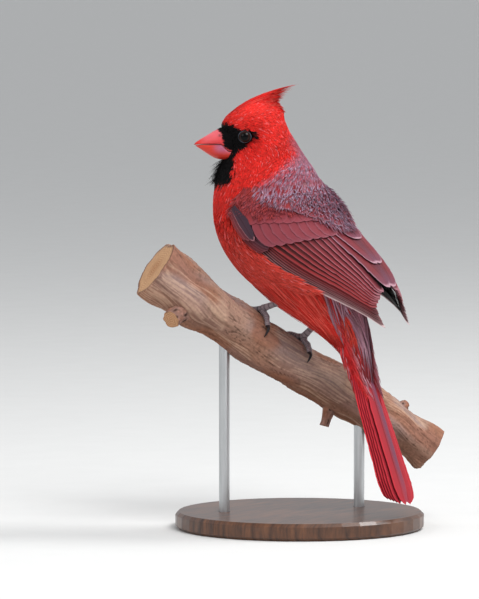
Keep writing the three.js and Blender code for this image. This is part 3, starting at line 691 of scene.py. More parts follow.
def per_corner(sections):
    """Values of four sections for ten vertices: three corners in each of three sections, and a point."""
    n, blades, _, size = sections.shape
    corners = np.repeat(sections[:, :, :3, None], 3, 3).reshape(n, blades, 9, size)
    return np.concatenate([corners, sections[:, :, 3:4]], 2)


BLADE = strand_faces(len(SECTION_U))
print("blade", len(BLADE), "triangles")

# %% [markdown]
# ## Many feathers at once
#
# Every feather is the same fan, bent over the body where it grows. All of them are worked out
# together, as arrays of feather by blade by section. Each section steps along the body's rows and
# angles, so that a feather follows the form however long it is.

# %% Tufts
def blade_shapes(rows, t, angle, way, length, width, lift, rng, blades, sink, ruffle):
    """Blade j leaves the shaft sideways by its share of the width and rises over the surface by
    lift * u^0.9 - sink * (1 - u)^2. Gives the places, each blade's share, and the steps ahead."""
    n = len(t)
    _, _, along, around = form_frame(rows, t, angle)
    step_t = np.einsum("ij,ij->i", way, along) / np.einsum("ij,ij->i", along, along)
    step_a = np.einsum("ij,ij->i", way, around) / np.einsum("ij,ij->i", around, around)
    length, width, lift = (v[:, None, None] for v in (length, width, lift))
    fan = np.linspace(-1, 1, blades)[None, :] + rng.normal(0, 0.12, (n, blades))
    reach = (1 - 0.34 * fan**2) * rng.uniform(0.82, 1.12, (n, blades))
    ahead = SECTION_U[None, None, :] * reach[..., None] * length
    tt = np.clip(t[:, None, None] + step_t[:, None, None] * ahead, 0.02, len(rows) - 1)
    base, out, _, _ = form_frame(rows, tt, angle[:, None, None] + step_a[:, None, None] * ahead)
    side = unit(np.cross(out, np.broadcast_to(way[:, None, None, :], out.shape)))
    off = fan[..., None] * (0.15 + 0.85 * SECTION_U**0.8) * width * 0.5
    high = lift * SECTION_U**0.9 * (1 + ruffle * rng.normal(0, 1, (n, blades, 1)))
    high = high - sink * (1 - SECTION_U) ** 2 - 0.12 * fan[..., None] ** 2 * SECTION_U
    middle = base + side * off[..., None] + out * high[..., None]
    half = (width / blades) * SECTION_WIDTH * rng.uniform(0.8, 1.25, (n, blades, 1))
    thick = np.maximum(0.35 * half, LEAST_THICKNESS * (SECTION_U < 1))
    wide = side * half[..., None]
    corners = np.stack([middle - wide, middle + wide, middle + out * thick[..., None]], 3)
    corners = corners[:, :, :3].reshape(n, blades, 9, 3)
    return np.concatenate([corners, middle[:, :, 3:4]], 2), fan[..., None], ahead


def blade_tints(fan, colour, fringe, rng, tip_mix, side_mix, pale):
    """The feather's colour, going to the fringe's at the tip and in the outer blades, and darkened
    as painted shade towards the root, with a little chance in each feather and blade. A share of the
    blades, pale, is lighter."""
    n, blades, _ = fan.shape
    edge = np.array(tip_mix) + side_mix * smoothstep(0.3, 0.95, np.abs(fan)) * SECTION_U**0.5
    tint = mix(colour[:, None, None, :], fringe[:, None, None, :], np.clip(edge, 0, 1))
    shade = rng.normal(1, 0.09, (n, blades, 1, 1)) * rng.normal(1, 0.05, (n, 1, 1, 1))
    light = (rng.random((n, blades, 1, 1)) < pale) * np.array([0.10, 0.09, 0.10])
    tint = tint * shade * PAINTED_ROOT_SHADE[None, None, :, None] + light * (tint[..., :1] > 0.05)
    return np.clip(per_corner(tint), 0, 1)


def tufts(rows, t, angle, way, length, width, lift, colour, fringe, rng, blades=5, sink=0.9, ruffle=0.15,
          tip_mix=(0.0, 0.1, 0.4, 0.9), side_mix=0.3, pale=0.0):
    """Fans of blades along `way`: their places, faces, colours and UVs. The UVs of a feather are a
    small patch at its root's place on the skin."""
    points, fan, ahead = blade_shapes(rows, t, angle, way, length, width, lift, rng, blades, sink, ruffle)
    tint = blade_tints(fan, colour, fringe, rng, tip_mix, side_mix, pale)
    patch = np.stack([fan * 0.0012 + 0 * ahead, 0 * ahead + SECTION_U * 0.0026], -1)
    uv = per_corner(body_uv(t, angle)[:, None, None, :] + patch)
    faces = repeated(BLADE, BLADE_POINTS, len(t) * blades)
    return points.reshape(-1, 3), faces, tint.reshape(-1, 3), uv.reshape(-1, 2)


def join_parts(groups):
    """Many sets of points, faces, colours and UVs as one."""
    starts = np.cumsum([0] + [len(group[0]) for group in groups])
    points, faces, colour, uv = zip(*groups)
    moved = [part + start for part, start in zip(faces, starts)]
    return tuple(np.concatenate(parts) for parts in (points, moved, colour, uv))


print("sections at", SECTION_U)

# %% [markdown]
# ## Where the feathers grow
#
# Real feathers grow in staggered rows, like tiles. Chance alone would leave clumps and gaps, so the
# roots stand in rings round the body, each ring half a step on from the last, and then move a
# little by chance.

# %% Scatter
RING_ANGLES = np.arange(0, 360, 4.0)
ROW_OVERLAP = 0.9


def scatter(rows, t_from, t_to, pitch, rng, jitter=0.34):
    """Roots in staggered rings: neighbours are one pitch apart along the rings and down the rows."""
    ts, angles = [], []
    t, odd = t_from, 0.0
    while t < t_to:
        loop = form_point(rows, t, RING_ANGLES)
        around = np.linalg.norm(np.roll(loop, -1, 0) - loop, axis=1)
        size = pitch(t)
        total = around.sum()
        count = max(3, int(total / size))
        share = (np.arange(count) + odd + rng.uniform(-jitter, jitter, count)) / count
        travelled = np.concatenate([[0], np.cumsum(around)]) / total
        angles.append(np.interp(share % 1, travelled, np.append(RING_ANGLES, 360.0)))
        drop = np.linalg.norm(form_point(rows, t + 0.01, 45.0) - form_point(rows, t, 45.0)) / 0.01
        step = size * ROW_OVERLAP / max(drop, 1.5)
        ts.append(t + rng.uniform(-jitter, jitter, count) * step)
        t += step
        odd = 0.5 - odd
    return np.clip(np.concatenate(ts), t_from, t_to), np.concatenate(angles)


print("rings have", len(RING_ANGLES), "measured places")

# %% [markdown]
# ## What the folded wings cover
#
# Feathers that would grow under a folded wing are left out, as they would only poke through it.
# They could be tested against the wing's mesh, but seen from the side the wing covers a fixed
# outline, worked out from the same form that its own feathers lie on.

# %% Wing outline
WING_EDGE = np.array([
    (1.6, -8), (2.3, -14), (3.3, -9), (4.5, -4), (5.4, 0), (6.5, 6), (7.9, 20), (8.3, 50), (7.4, 75),
    (6.0, 84), (4.5, 84), (3.2, 78), (2.6, 62), (2.0, 45), (1.4, 25), (1.2, 8),
])
WING_OUTLINE = form_point(WING_FORM, WING_EDGE[:, 0], WING_EDGE[:, 1])[:, 1:]
MIDDLE_STRIP = 3.5


def under_wing(points):
    """Inside the wing's outline from the side, and not on the strip along the middle of the back."""
    return inside_outline(points[..., 1:], WING_OUTLINE) & (np.abs(points[..., 0]) > MIDDLE_STRIP)


print("wing outline from", WING_OUTLINE.min(0).round(0), "to", WING_OUTLINE.max(0).round(0))

# %% [markdown]
# ## A coat in pieces
#
# A coat of a hundred thousand blades would be too large as one mesh, so it is split into pieces that
# each keep whole blades. A real coat has bare places too, and its feathers are left out there.

# %% Coat pieces
PIECE_TRIANGLES = 190_000
EYE_FORWARD = 5.1
EYE_HEIGHT = 182.3


def make_coat(name, parts):
    """Blades of a coat in pieces that stay under the limit of triangles."""
    points, _, colour, uv = parts
    blades = len(points) // BLADE_POINTS
    per = PIECE_TRIANGLES // len(BLADE)
    made = []
    for i, start in enumerate(range(0, blades, per)):
        stop = min(start + per, blades)
        span = slice(start * BLADE_POINTS, stop * BLADE_POINTS)
        faces = repeated(BLADE, BLADE_POINTS, stop - start)
        piece = make_mesh(f"{name}_{i + 1}", PLUMAGE, points[span], faces, colour[span], uv[span], "OFBake")
        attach(piece, "root")
        made.append(piece)
    return made


def bare(points):
    """Where no feather grows: under the bill and in the eye."""
    forward, left, height = in_head(points)
    in_bill = (forward > 12.5) & (np.abs(left) < 5.6) & (height > 172.2) & (height < 185.5)
    in_eye = (np.hypot(forward - EYE_FORWARD, height - EYE_HEIGHT) < 3.5) & (np.abs(left) > 6)
    return in_bill | in_eye


print("at most", PIECE_TRIANGLES // len(BLADE), "blades in a piece")

# %% [markdown]
# ## The coat of the body
#
# Two kinds of contour feather cover the body: short plain ones, and on the mantle broader ones with
# grey edges, which part into more blades. They shorten towards the bill and the eye, where long
# ones would hide both. Length, width and lift come from the root's place, so no feather is set by
# hand.

# %% Coat of the body
LENGTH_ROWS = [0, 3, 6, 8, 10, 13, 19]
LENGTHS = [7.0, 5.6, 4.6, 6.0, 8.0, 9.0, 9.5]
MANTLE_LOOK = dict(blades=7, tip_mix=(0, 0, 0.2, 0.85), side_mix=0.9)
MANTLE_WIDTH = 4.4


def contour_feathers(t, angle, rng, mantle):
    """Length = the row's own length, times a share that falls towards the bill and the eye."""
    p, normal, along, _ = form_frame(BODY, t, angle)
    feather, fringe, grey, mask = plumage(p, t, angle)
    on_mantle = (grey > 0.55) & (t > 8.3) & (mask < 0.5)
    keep = ~under_wing(p) & ~bare(p) & (on_mantle == mantle)
    t, angle, p, normal, along, feather, fringe = (
        v[keep] for v in (t, angle, p, normal, along, feather, fringe))
    way = lie_of_feathers(p, normal, along, t)
    way = unit(way + np.cross(normal, way) * rng.normal(0, 0.13, (len(way), 1)))
    forward, left, height = in_head(p)
    to_bill = np.sqrt((forward - 18) ** 2 + left**2 + (height - 180) ** 2)
    to_eye = np.sqrt((forward - EYE_FORWARD) ** 2 + (np.abs(left) - 11) ** 2 + (height - EYE_HEIGHT) ** 2)
    share = np.clip(np.minimum(to_bill / 16, 0.25 + to_eye / 13), 0.3, 1)
    length = np.interp(t, LENGTH_ROWS, LENGTHS) * share * rng.uniform(0.85, 1.15, len(t))
    lift = np.interp(length, [2, 9], [-0.35, 0.1])
    if mantle:
        width, lift, look = np.full(len(t), MANTLE_WIDTH), lift + 0.15, dict(pale=0.04, **MANTLE_LOOK)
    else:
        width, look = np.clip(length * 0.5, 1.5, 3.4), dict(pale=0.05)
    return tufts(BODY, t, angle, way, length, width, lift, feather, fringe, rng, **look)


def coat_pitch(t):
    """Space between roots: close on the head and wider down the body."""
    return float(np.interp(t, [0, 3, 7, 9, 12, 19], [1.0, 0.95, 1.1, 1.4, 1.7, 1.7]))


rng = np.random.default_rng(11)
plain = contour_feathers(*scatter(BODY, 0.35, LAST_ROW, coat_pitch, rng), rng, False)
mantle = contour_feathers(*scatter(BODY, 8.0, LAST_ROW, lambda t: 2.0, rng), rng, True)
coat = make_coat("coat", plain) + make_coat("mantle", mantle)
print("coat pieces", [len(p.data.polygons) for p in coat])

# %% [markdown]
# ## Curved strands
#
# The crest, the bristles and the loose coverts leave the form and bend through the air, so they
# can't step along it as the coat does. Each is a blade along a curve through three places. Hair
# curves would bend as well, but they have no faces to export, and these do.

# %% Strands
def curve_at(a, b, c, u):
    """(1-u)^2 a + 2u(1-u) b + u^2 c."""
    return (1 - u) ** 2 * a + 2 * u * (1 - u) * b + u**2 * c


def cut_short(a, b, c, share):
    """The first part of the curve through a, b and c, up to u = share."""
    return a, mix(a, b, share), curve_at(a, b, c, share[:, None])


def strands(a, b, c, wide, out, thick, root_colour, tip_colour, rng, uv_at, sections=6):
    """Blades along curves, with a triangular section whose size goes as (1 - u^2.4) * (0.7 + 0.5u).
    The colour goes evenly from root to tip."""
    n = len(a)
    a, b, c = a[:, None], b[:, None], c[:, None]
    u = np.linspace(0, 1, sections)[None, :, None]
    middle = curve_at(a, b, c, u)
    along = unit(2 * (1 - u) * (b - a) + 2 * u * (c - b))
    side = unit(np.cross(along, np.broadcast_to(out[:, None], along.shape)))
    over = np.cross(side, along)
    taper = (1 - u**2.4) * (0.7 + 0.5 * u)
    half = side * (wide[:, None, None] * taper)
    corners = np.stack([middle - half, middle + half, middle + over * thick * taper], 2)[:, :-1]
    points = np.concatenate([corners.reshape(n, -1, 3), middle[:, -1:]], 1)
    count = points.shape[1]
    weight = np.concatenate([np.repeat(u[0, :-1, 0], 3), [1.0]])
    colour = mix(root_colour[:, None], tip_colour[:, None], np.broadcast_to(weight, (n, count)))
    colour = np.clip(colour * rng.normal(1, 0.1, (n, 1, 1)), 0, 1)
    uv = uv_at[:, None] + np.stack([0 * weight, weight * 0.0028], -1)
    faces = repeated(strand_faces(sections), count, n)
    return points.reshape(-1, 3), faces, colour.reshape(-1, 3), uv.reshape(-1, 2)


print("a strand of 6 sections has", len(strand_faces(6)), "triangles")

# %% [markdown]
# ## Crest
#
# The crest is a bundle of long narrow feathers. The front ones are the longest and arch over all
# the others to the point, and those behind end one under another down the back of the head. One
# solid cone would look carved, so each feather follows one of five guides from root to tip, mixed by
# where it grows.

# %% Crest
# Root, middle and tip of each guide, each as forward and height
CREST = np.array([
    [13.5, 189.0, 2.0, 202.8, -18.6, 206.6],
    [8.5, 192.6, -1.0, 201.8, -16.2, 204.4],
    [3.0, 194.2, -4.0, 200.6, -13.2, 201.4],
    [-2.0, 194.0, -6.8, 198.8, -11.9, 198.0],
    [-6.5, 190.6, -10.2, 195.4, -12.9, 193.6],
])
CREST_FEATHERS = 7000
STRAND_THICKNESS = 0.12


def crest_roots(count, rng):
    """Places on the crown, above a line that rises to the front and outside the mask."""
    t = rng.uniform(0.1, 4.2, count)
    angle = rng.uniform(-100, 260, count)
    p = form_point(BODY, t, angle, -0.6)
    forward, _, height = in_head(p)
    keep = (height > np.interp(forward, [-14, 4, 16], [186.5, 188.5, 188.6])) & (in_mask(p) < 0.4)
    return t[keep], angle[keep], p[keep]


def crest_curves(a, rng):
    """Guides mixed by how far forward the root is, drawn to the middle line towards the tip."""
    forward, left, _ = in_head(a)
    guide = row_at(CREST, np.interp(-forward, -CREST[:, 0], np.arange(len(CREST))))
    stray = rng.normal(0, 1, (3, len(a)))
    b_height = guide[:, 3] - 0.055 * left**2 - 0.3 * np.abs(stray[1])
    b = head_place(guide[:, 2] + 0.6 * stray[0], 0.62 * left, b_height)
    c_height = guide[:, 5] - 0.25 * np.abs(left) - 0.2 * np.abs(stray[0])
    c = head_place(guide[:, 4] + 0.3 * stray[1], 0.13 * left + 0.2 * stray[2], c_height)
    # Feathers low on the sides of the crown are short, and those of the middle line reach the point
    share = np.interp(np.abs(left), [0, 3, 9], [1.06, 0.8, 0.34]) * rng.uniform(0.3, 1.0, len(a)) ** 0.5
    out = unit(UP + HEAD_LEFT * (0.35 * left)[:, None])
    return *cut_short(a, b, c, np.clip(share, 0.2, 1.02)), out


rng = np.random.default_rng(5)
crest_t, crest_angle, crest_places = crest_roots(CREST_FEATHERS, rng)
a, b, c, out = crest_curves(crest_places, rng)
root_colour = mix(DEEP_RED, BRIGHT_RED, np.clip(rng.normal(0.6, 0.2, len(a)), 0, 1))
tip_colour = mix(BRIGHT_RED, PALE_RED, rng.random(len(a)) ** 2 * 0.9)
wide = rng.uniform(0.24, 0.5, len(a))
crest_uv = body_uv(crest_t, crest_angle)
crest_parts = strands(a, b, c, wide, out, STRAND_THICKNESS, root_colour, tip_colour, rng, crest_uv)
crest = make_mesh("crest", PLUMAGE, *crest_parts, "OFBake")
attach(crest, "root")
print("crest", len(crest.data.polygons), "triangles")

# %% [markdown]
# ## Feathers at the bill's base
#
# Round the bill, short black feathers lie forward over its base and hide where horn meets skin.
# Without them the bill would look stuck on. They grow from a ring round the bill, so each is placed
# by its angle on that ring.

# %% Bill-base feathers
BILL_AXIS = 178.7
BASE_FORWARD = 10.8
BASE_FEATHERS = 900


def bill_base_feathers(count, rng):
    """Curves from a ring of half width 6.9 round the bill, forward by a reach that grows with height."""
    ring = rng.uniform(0, 2 * np.pi, count)
    wide, high = np.cos(ring), np.sin(ring)
    a_height = BILL_AXIS + np.where(high > 0, 8.4, 8.2) * high
    a = head_place(np.full(count, BASE_FORWARD), 6.9 * wide, a_height)
    reach = np.interp(high, [-1, 0, 0.6, 1], [15.2, 16.2, 17.2, 19.4]) - 2.4 * rng.beta(1.3, 2.2, count)
    b_height = BILL_AXIS + np.where(high > 0, 8.6, 8.3) * high
    b = head_place((BASE_FORWARD + reach) / 2, 6.9 * wide, b_height)
    top = np.interp(reach, [13, 16.6, 20], [186.9, 186.1, 184.8]) - BILL_AXIS
    c = head_place(reach, 6.35 * wide, BILL_AXIS + np.where(high > 0, top + 0.25, 7.9) * high)
    out = unit(HEAD_LEFT * wide[:, None] + UP * high[:, None])
    return a, b, c, rng.uniform(0.3, 0.5, count), out


rng = np.random.default_rng(8)
a, b, c, wide, out = bill_base_feathers(BASE_FEATHERS, rng)
black = np.broadcast_to(MASK_BLACK, a.shape)
uv = body_uv(4 + rng.random(len(a)), np.full(len(a), 270.0))
base_parts = strands(a, b, c, wide, out, STRAND_THICKNESS, black, black * 1.3, rng, uv, sections=5)
base = make_mesh("bill_base_feathers", PLUMAGE, *base_parts, "OFBake")
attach(base, "root")
print("feathers at the bill's base", len(a))

# %% [markdown]
# ## Bib
#
# The black bib ends in loose tips and stiff bristles that point forward and down. The coat's own
# blades lie flat there, so a few hundred curved strands break the bib's edge.

# %% Bib bristles
BIB_HEIGHTS = [160, 163, 166, 170, 176]
BIB_FORWARD = [19.4, 19.0, 18.2, 16.6, 14.5]
BRISTLES = 620


def bristles(count, rng):
    """Curves from the throat, forward and down by 3 to 5 mm, the more so the further they fly off."""
    height = rng.uniform(162.5, 172.0, count)
    side = rng.normal(0, 3.4, count)
    depth = np.interp(height, BIB_HEIGHTS, BIB_FORWARD) - 0.035 * side**2
    fly = rng.beta(1.2, 3.2, count)
    a = head_place(depth - 1.5, side, height)
    b = head_place(depth + 0.8 + 2.2 * fly, side * 1.05, height - 0.8)
    tip_side = side * 1.1 + rng.normal(0, 0.5, count)
    c = head_place(depth + 0.4 + 7.4 * fly, tip_side, height - 3.4 - 1.2 * rng.random(count))
    return a, b, c, rng.uniform(0.2, 0.4, count) * (1 - 0.5 * fly), np.broadcast_to(HEAD_FORWARD, a.shape)


rng = np.random.default_rng(6)
a, b, c, wide, out = bristles(BRISTLES, rng)
black = np.broadcast_to(MASK_BLACK, a.shape)
uv = body_uv(8 + rng.random(len(a)), np.full(len(a), 270.0))
bib_parts = strands(a, b, c, wide, out, 0.08, black, black * 1.5, rng, uv, sections=5)
bib = make_mesh("bib", PLUMAGE, *bib_parts, "OFBake")
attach(bib, "root")
print("bib", len(bib.data.polygons), "triangles")

# %% [markdown]
# ## One vane
#
# A flight feather is a stiff vane on a shaft. Its web is narrow on the side that shows and wide on
# the side that hides under the next feather. A flat card would vanish from the side, so the vane is
# a grid with a second grid a little below it: u runs from root to tip, and v from the showing edge
# to the hidden one.

# %% Vanes
VANE_V = np.array([
    -1.0, -0.94, -0.87, -0.78, -0.64, -0.5, -0.34, -0.12, -0.03, 0.03, 0.12, 0.4, 0.7, 0.92, 1.0])
VANE_THICKNESS = 0.14


def web_width(u, blunt, root=0.5):
    """Half width along a feather: it widens from the root, stays even and rounds off at the tip."""
    opening = np.minimum(1.0, root + u * (1.6 - root))
    closing = np.sqrt(np.clip(1 - (np.clip(u - blunt, 0, 1) / (1.0 - blunt)) ** 2.2, 0, 1))
    return opening * closing


def slab_faces(row_count, columns):
    """The quads of a grid, of the same grid below it, and of the four walls between them."""
    top = grid_faces(row_count, columns)
    count = row_count * columns
    first = np.arange(row_count - 1) * columns
    last = first + columns - 1
    root = np.arange(columns - 1)
    tip = (row_count - 1) * columns + root
    left = np.stack([first, first + columns, first + columns + count, first + count], -1)
    right = np.stack([last + columns, last, last + count, last + columns + count], -1)
    start = np.stack([root + 1, root, root + count, root + 1 + count], -1)
    end = np.stack([tip, tip + 1, tip + 1 + count, tip + count], -1)
    return np.concatenate([top, top[:, ::-1] + count, left, right, start, end])


def vane(middle, along, out, half, drop, camber, u, painted, rng, blunt=0.8, outer=1.0):
    """Place = middle + side * v * half + out * (camber * (1 - v^2) - drop * (v + 1) / 2 + ridge)."""
    side = unit(np.cross(out, along))
    width = web_width(u, blunt)
    v = VANE_V * np.where(VANE_V < 0, outer, 1.0)
    ragged = 1 + 0.03 * rng.normal(0, 1, (len(middle), 1)) * (np.abs(VANE_V) > 0.9)
    across = v * ragged * (half * width)[:, None]
    ridge = 0.16 * np.exp(-((VANE_V / 0.08) ** 2)) * (1 - 0.7 * u[:, None])
    grown = np.minimum(1, 0.25 + 2.0 * u)[:, None] * width[:, None]
    high = camber * (1 - VANE_V**2) * grown - drop * (VANE_V + 1) / 2 * grown + ridge
    top = middle[:, None] + side[:, None] * across[..., None] + out[:, None] * high[..., None]
    under = top - out[:, None] * VANE_THICKNESS
    points = np.concatenate([top.reshape(-1, 3), under.reshape(-1, 3)])
    tint = painted(u[:, None], VANE_V[None, :] + 0 * u[:, None]).reshape(-1, 3)
    length = np.concatenate([[0], np.cumsum(np.linalg.norm(np.diff(middle, axis=0), axis=1))])
    uv = np.stack(np.broadcast_arrays(length[:, None], across), -1).reshape(-1, 2)
    faces = slab_faces(len(middle), len(VANE_V))
    # The grid below gets the colours at 0.8, painted shade on the vane's underside.
    return points, faces, np.concatenate([tint, tint * 0.8]), np.concatenate([uv, uv])


print("vane", len(VANE_V), "columns")

# %% [markdown]
# ## The colours of a vane
#
# Each flight feather is a dull red web with a dark shaft, a dark hidden half and a thin pale edge,
# and the edges together draw the lines of the folded wing. The colours depend on u and v alone, so
# one function paints feathers of any length.

# %% Vane colours
def vane_paint(web, edge, hidden, shaft, edge_width=0.12, tip_from=0.95, dark=0.0, edge_gain=1.0,
               halo=None, halo_gain=0.0):
    """The web's colour, a pale edge on the showing side and round the tip with a softer halo inside it,
    a dark line at the shaft and a dark hidden web that starts beside the next feather's edge."""

    def colour(u, v):
        base = mix(web, hidden, smoothstep(0.0, 0.5, v))
        base = mix(base, shaft, 0.6 * np.exp(-(((v - 0.02) / 0.07) ** 2)))
        base = mix(base, MASK_BLACK * 1.5, dark * smoothstep(0.03, 0.2, u) * smoothstep(-0.72, -0.42, v))
        from_tip = u + 0.035 * v**2
        if halo is not None:
            near_edge = smoothstep(-1 + 6 * edge_width, -1 + edge_width, v)
            near_tip = smoothstep(tip_from - 0.22, tip_from, from_tip)
            base = mix(base, halo, halo_gain * np.maximum(near_edge, near_tip))
        on_edge = smoothstep(-1 + 1.5 * edge_width, -1 + 0.7 * edge_width, v)
        on_tip = smoothstep(tip_from, tip_from + 0.03, from_tip)
        return mix(base, edge, edge_gain * np.maximum(on_edge, on_tip) * smoothstep(0.0, 0.2, u))

    return colour


print("vane colours ready")

# %% [markdown]
# ## The folded wings
#
# A folded wing is a stack of rows. The primaries lie lowest and reach furthest, the secondaries lie
# over them, three broad tertials roof them at the back, and the coverts cover the roots in shorter
# and shorter rows up to the arm. In each row the feather nearer the back lies over the next. Sixty
# feathers could be placed by hand, but a row changes evenly from its first feather to its last, so a
# table of those two is enough. Each pair gives a row and an angle on the wing's form.

# %% Wing rows
BRICK_WEB = paint(130, 40, 42)
ROSE_WEB = paint(122, 52, 60)
PALE_EDGE = paint(152, 102, 112)
DARK_WEB = paint(34, 18, 24)
SHAFT = paint(44, 18, 24)
SLATE = paint(66, 46, 56)

WING_ROWS = {
    "primaries": dict(
        count=8, first=((3.0, -7), (8.7, 36)), last=((2.9, 6), (8.0, 47)), bow=(8, 1), half=2.5,
        outer=0.7, lift=((0.6, -0.6), (0.6, 1.0)), drop=1.8, blunt=0.66, rows=40, dark=(0.95, 0.75),
        edge_width=(0.3, 0.08), web=(paint(56, 34, 40), BRICK_WEB), hidden=DARK_WEB, edge_bias=0.16,
        edge=(paint(196, 168, 168), paint(100, 54, 58))),
    "secondaries": dict(
        count=9, first=((3.0, 8), (7.75, 51)), last=((2.7, 60), (7.05, 74)), half=3.0,
        outer=0.9, lift=((1.4, 1.2), (1.2, 2.2)), drop=1.7, blunt=0.84, rows=36, dark=(0.85, 0.3),
        edge_width=(0.07, 0.09), web=(BRICK_WEB, ROSE_WEB), hidden=DARK_WEB,
        edge=(paint(134, 64, 68), PALE_EDGE)),
    "tertials": dict(
        count=3, first=((2.5, 66), (6.85, 86)), last=((1.6, 76), (4.2, 90)), half=4.8,
        lift=((0.8, 3.0), (1.0, 2.6)), drop=0.9, blunt=0.72, rows=34,
        edge_width=(0.05, 0.05), web=(paint(110, 42, 48), paint(116, 46, 54)), hidden=paint(92, 44, 54),
        edge=(paint(170, 130, 142), paint(170, 130, 142)), halo=paint(106, 70, 88), halo_gain=0.55),
    "primary_coverts": dict(
        count=5, first=((2.5, -12), (4.2, 0)), last=((2.3, -3), (3.95, 12)), half=2.2,
        outer=0.9, lift=((0.9, 1.7), (0.9, 2.0)), drop=0.9, blunt=0.6, rows=18, dark=(0.3, 0.3),
        edge_width=(0.08, 0.08), web=(paint(104, 38, 42), SLATE), hidden=DARK_WEB,
        edge=(paint(108, 54, 60), paint(104, 62, 72))),
    "alula": dict(
        count=3, first=((1.6, -20), (3.35, -6)), last=((1.4, -16), (3.5, 2)), bow=(-3, -3), half=2.7,
        outer=0.9, lift=((1.8, 2.9), (2.2, 3.3)), drop=0.6, blunt=0.4, rows=20,
        edge_width=(0.08, 0.1), web=(paint(120, 44, 48), paint(64, 44, 54)), hidden=paint(58, 42, 52),
        edge=(paint(120, 60, 62), paint(160, 104, 110)), edge_bias=2.0),
    "greater_coverts": dict(
        count=8, first=((2.1, 6), (3.85, 17)), last=((2.5, 60), (3.75, 70)), half=4.3,
        lift=((1.9, 2.2), (1.5, 2.2)), drop=0.5, blunt=0.6, rows=20,
        edge_width=(0.05, 0.05), web=(paint(126, 56, 64), ROSE_WEB), hidden=paint(114, 50, 58),
        edge=(paint(136, 72, 80), paint(142, 86, 96)), halo=paint(124, 68, 80), halo_gain=0.5),
    "median_coverts": dict(
        count=8, first=((1.2, -2), (2.6, 7)), last=((1.6, 52), (2.85, 62)), half=4.2,
        lift=((1.2, 2.4), (0.8, 2.4)), drop=0.4, blunt=0.5, rows=16,
        edge_width=(0.04, 0.04), web=(paint(132, 50, 54), paint(126, 56, 64)), hidden=paint(122, 48, 54),
        edge=(paint(136, 62, 68), paint(140, 80, 90)), halo=paint(128, 66, 78), halo_gain=0.4),
    "scapulars": dict(
        count=5, first=((0.8, 30), (2.0, 40)), last=((1.7, 72), (3.35, 80)), half=3.9,
        lift=((0.9, 2.8), (1.0, 3.2)), drop=0.5, blunt=0.45, rows=18,
        edge_width=(0.06, 0.08), web=(paint(134, 48, 50), paint(120, 42, 48)), hidden=paint(120, 42, 48),
        edge=(paint(148, 96, 106), paint(152, 124, 138)), halo=paint(122, 72, 88), halo_gain=0.5),
}


print("wing rows", {name: row["count"] for name, row in WING_ROWS.items()})

# %% [markdown]
# ## Vanes along the wing
#
# The row's table says where its first and last feathers start and stop, and each feather between
# them is a mix of the two. The right wing is not a mirrored copy, as the body is turned a little
# between the wings: it is laid on its own side of the form, with the angles mirrored.

# %% Wing feathers
ROW_DEFAULTS = dict(bow=(0, 0), outer=1.0, dark=(0, 0), edge_bias=1, halo=None, halo_gain=0)
WING_CAMBER = 0.18


def on_side(side, angle):
    """Angles are those of the left wing, and the right wing mirrors them."""
    return angle if side > 0 else 180 - angle


def blend_pair(pair, s):
    """The first of a pair at s = 0 and the second at s = 1."""
    return np.array(pair[0]) * (1 - s) + np.array(pair[1]) * s


def wing_path(side, start, stop, bow, lift, count):
    """Places from start to stop over the wing's form, bowed by bow * sin(pi u) degrees and lifted."""
    u = np.linspace(0, 1, count) ** 0.92
    t = start[0] + (stop[0] - start[0]) * u
    angle = start[1] + (stop[1] - start[1]) * u - bow * np.sin(np.pi * u)
    p, normal, _, _ = form_frame(WING_FORM, t, on_side(side, angle))
    p = p + normal * (lift[0] + (lift[1] - lift[0]) * u)[:, None]
    return p, unit(np.gradient(p, axis=0)), normal, u


def wing_feather(side, row, s, rng):
    """The feather at share s of its row, from the one nearest the wing's edge to the highest one."""
    row = {**ROW_DEFAULTS, **row}
    start, stop = blend_pair((row["first"], row["last"]), s)
    stop = stop + rng.normal(0, 1, 2) * (0.03, 0.5)
    bow, lift, web, edge_width, dark = (
        blend_pair(row[key], s) for key in ("bow", "lift", "web", "edge_width", "dark"))
    p, along, out, u = wing_path(side, start, stop, bow, lift, row["rows"])
    painted = vane_paint(
        web, blend_pair(row["edge"], s ** row["edge_bias"]), row["hidden"], SHAFT,
        edge_width=edge_width, dark=dark, halo=row["halo"], halo_gain=row["halo_gain"])
    points, faces, tint, uv = vane(
        p, along * side, out, row["half"], row["drop"], WING_CAMBER, u, painted, rng,
        blunt=row["blunt"], outer=row["outer"])
    return points, faces if side > 0 else faces[:, ::-1], tint, uv


def make_wing(side, name, node_name):
    """All rows of one wing in one mesh, the lowest row first."""
    heap = Heap()
    rng = np.random.default_rng(21)
    for row in WING_ROWS.values():
        for s in np.linspace(0, 1, row["count"]):
            heap.add(*wing_feather(side, row, s, rng))
    wing = heap.make(name, VANE, "Vane")
    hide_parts(node_name)
    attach(wing, "root")
    return wing


for side, name, node_name in ((1, "left_wing_vanes", "wing_left"), (-1, "right_wing_vanes", "wing_right")):
    wing = make_wing(side, name, node_name)
    print(name, len(wing.data.polygons), "faces")

# %% [markdown]
# ## Small coverts and the mantle over the wing
#
# Small soft feathers cover the arm, the long loose feathers of the shoulder and mantle fall over
# the top of the wing, and those of the flank hide its lower edge. As vanes they would look like
# scales, so they are contour feathers, laid on the wing's own form.

# %% Soft feathers on the wings
SCAPULAR_EDGE = ([0.0, 0.65, 1.3, 1.9, 3.1, 3.5], [-8, 0, 26, 47, 72, 80])
FLANK_EDGE = ([1.4, 2.5, 3.4, 4.1, 4.9, 5.7, 6.3], [-24, -13, -9, -5, -1, 1, 6])


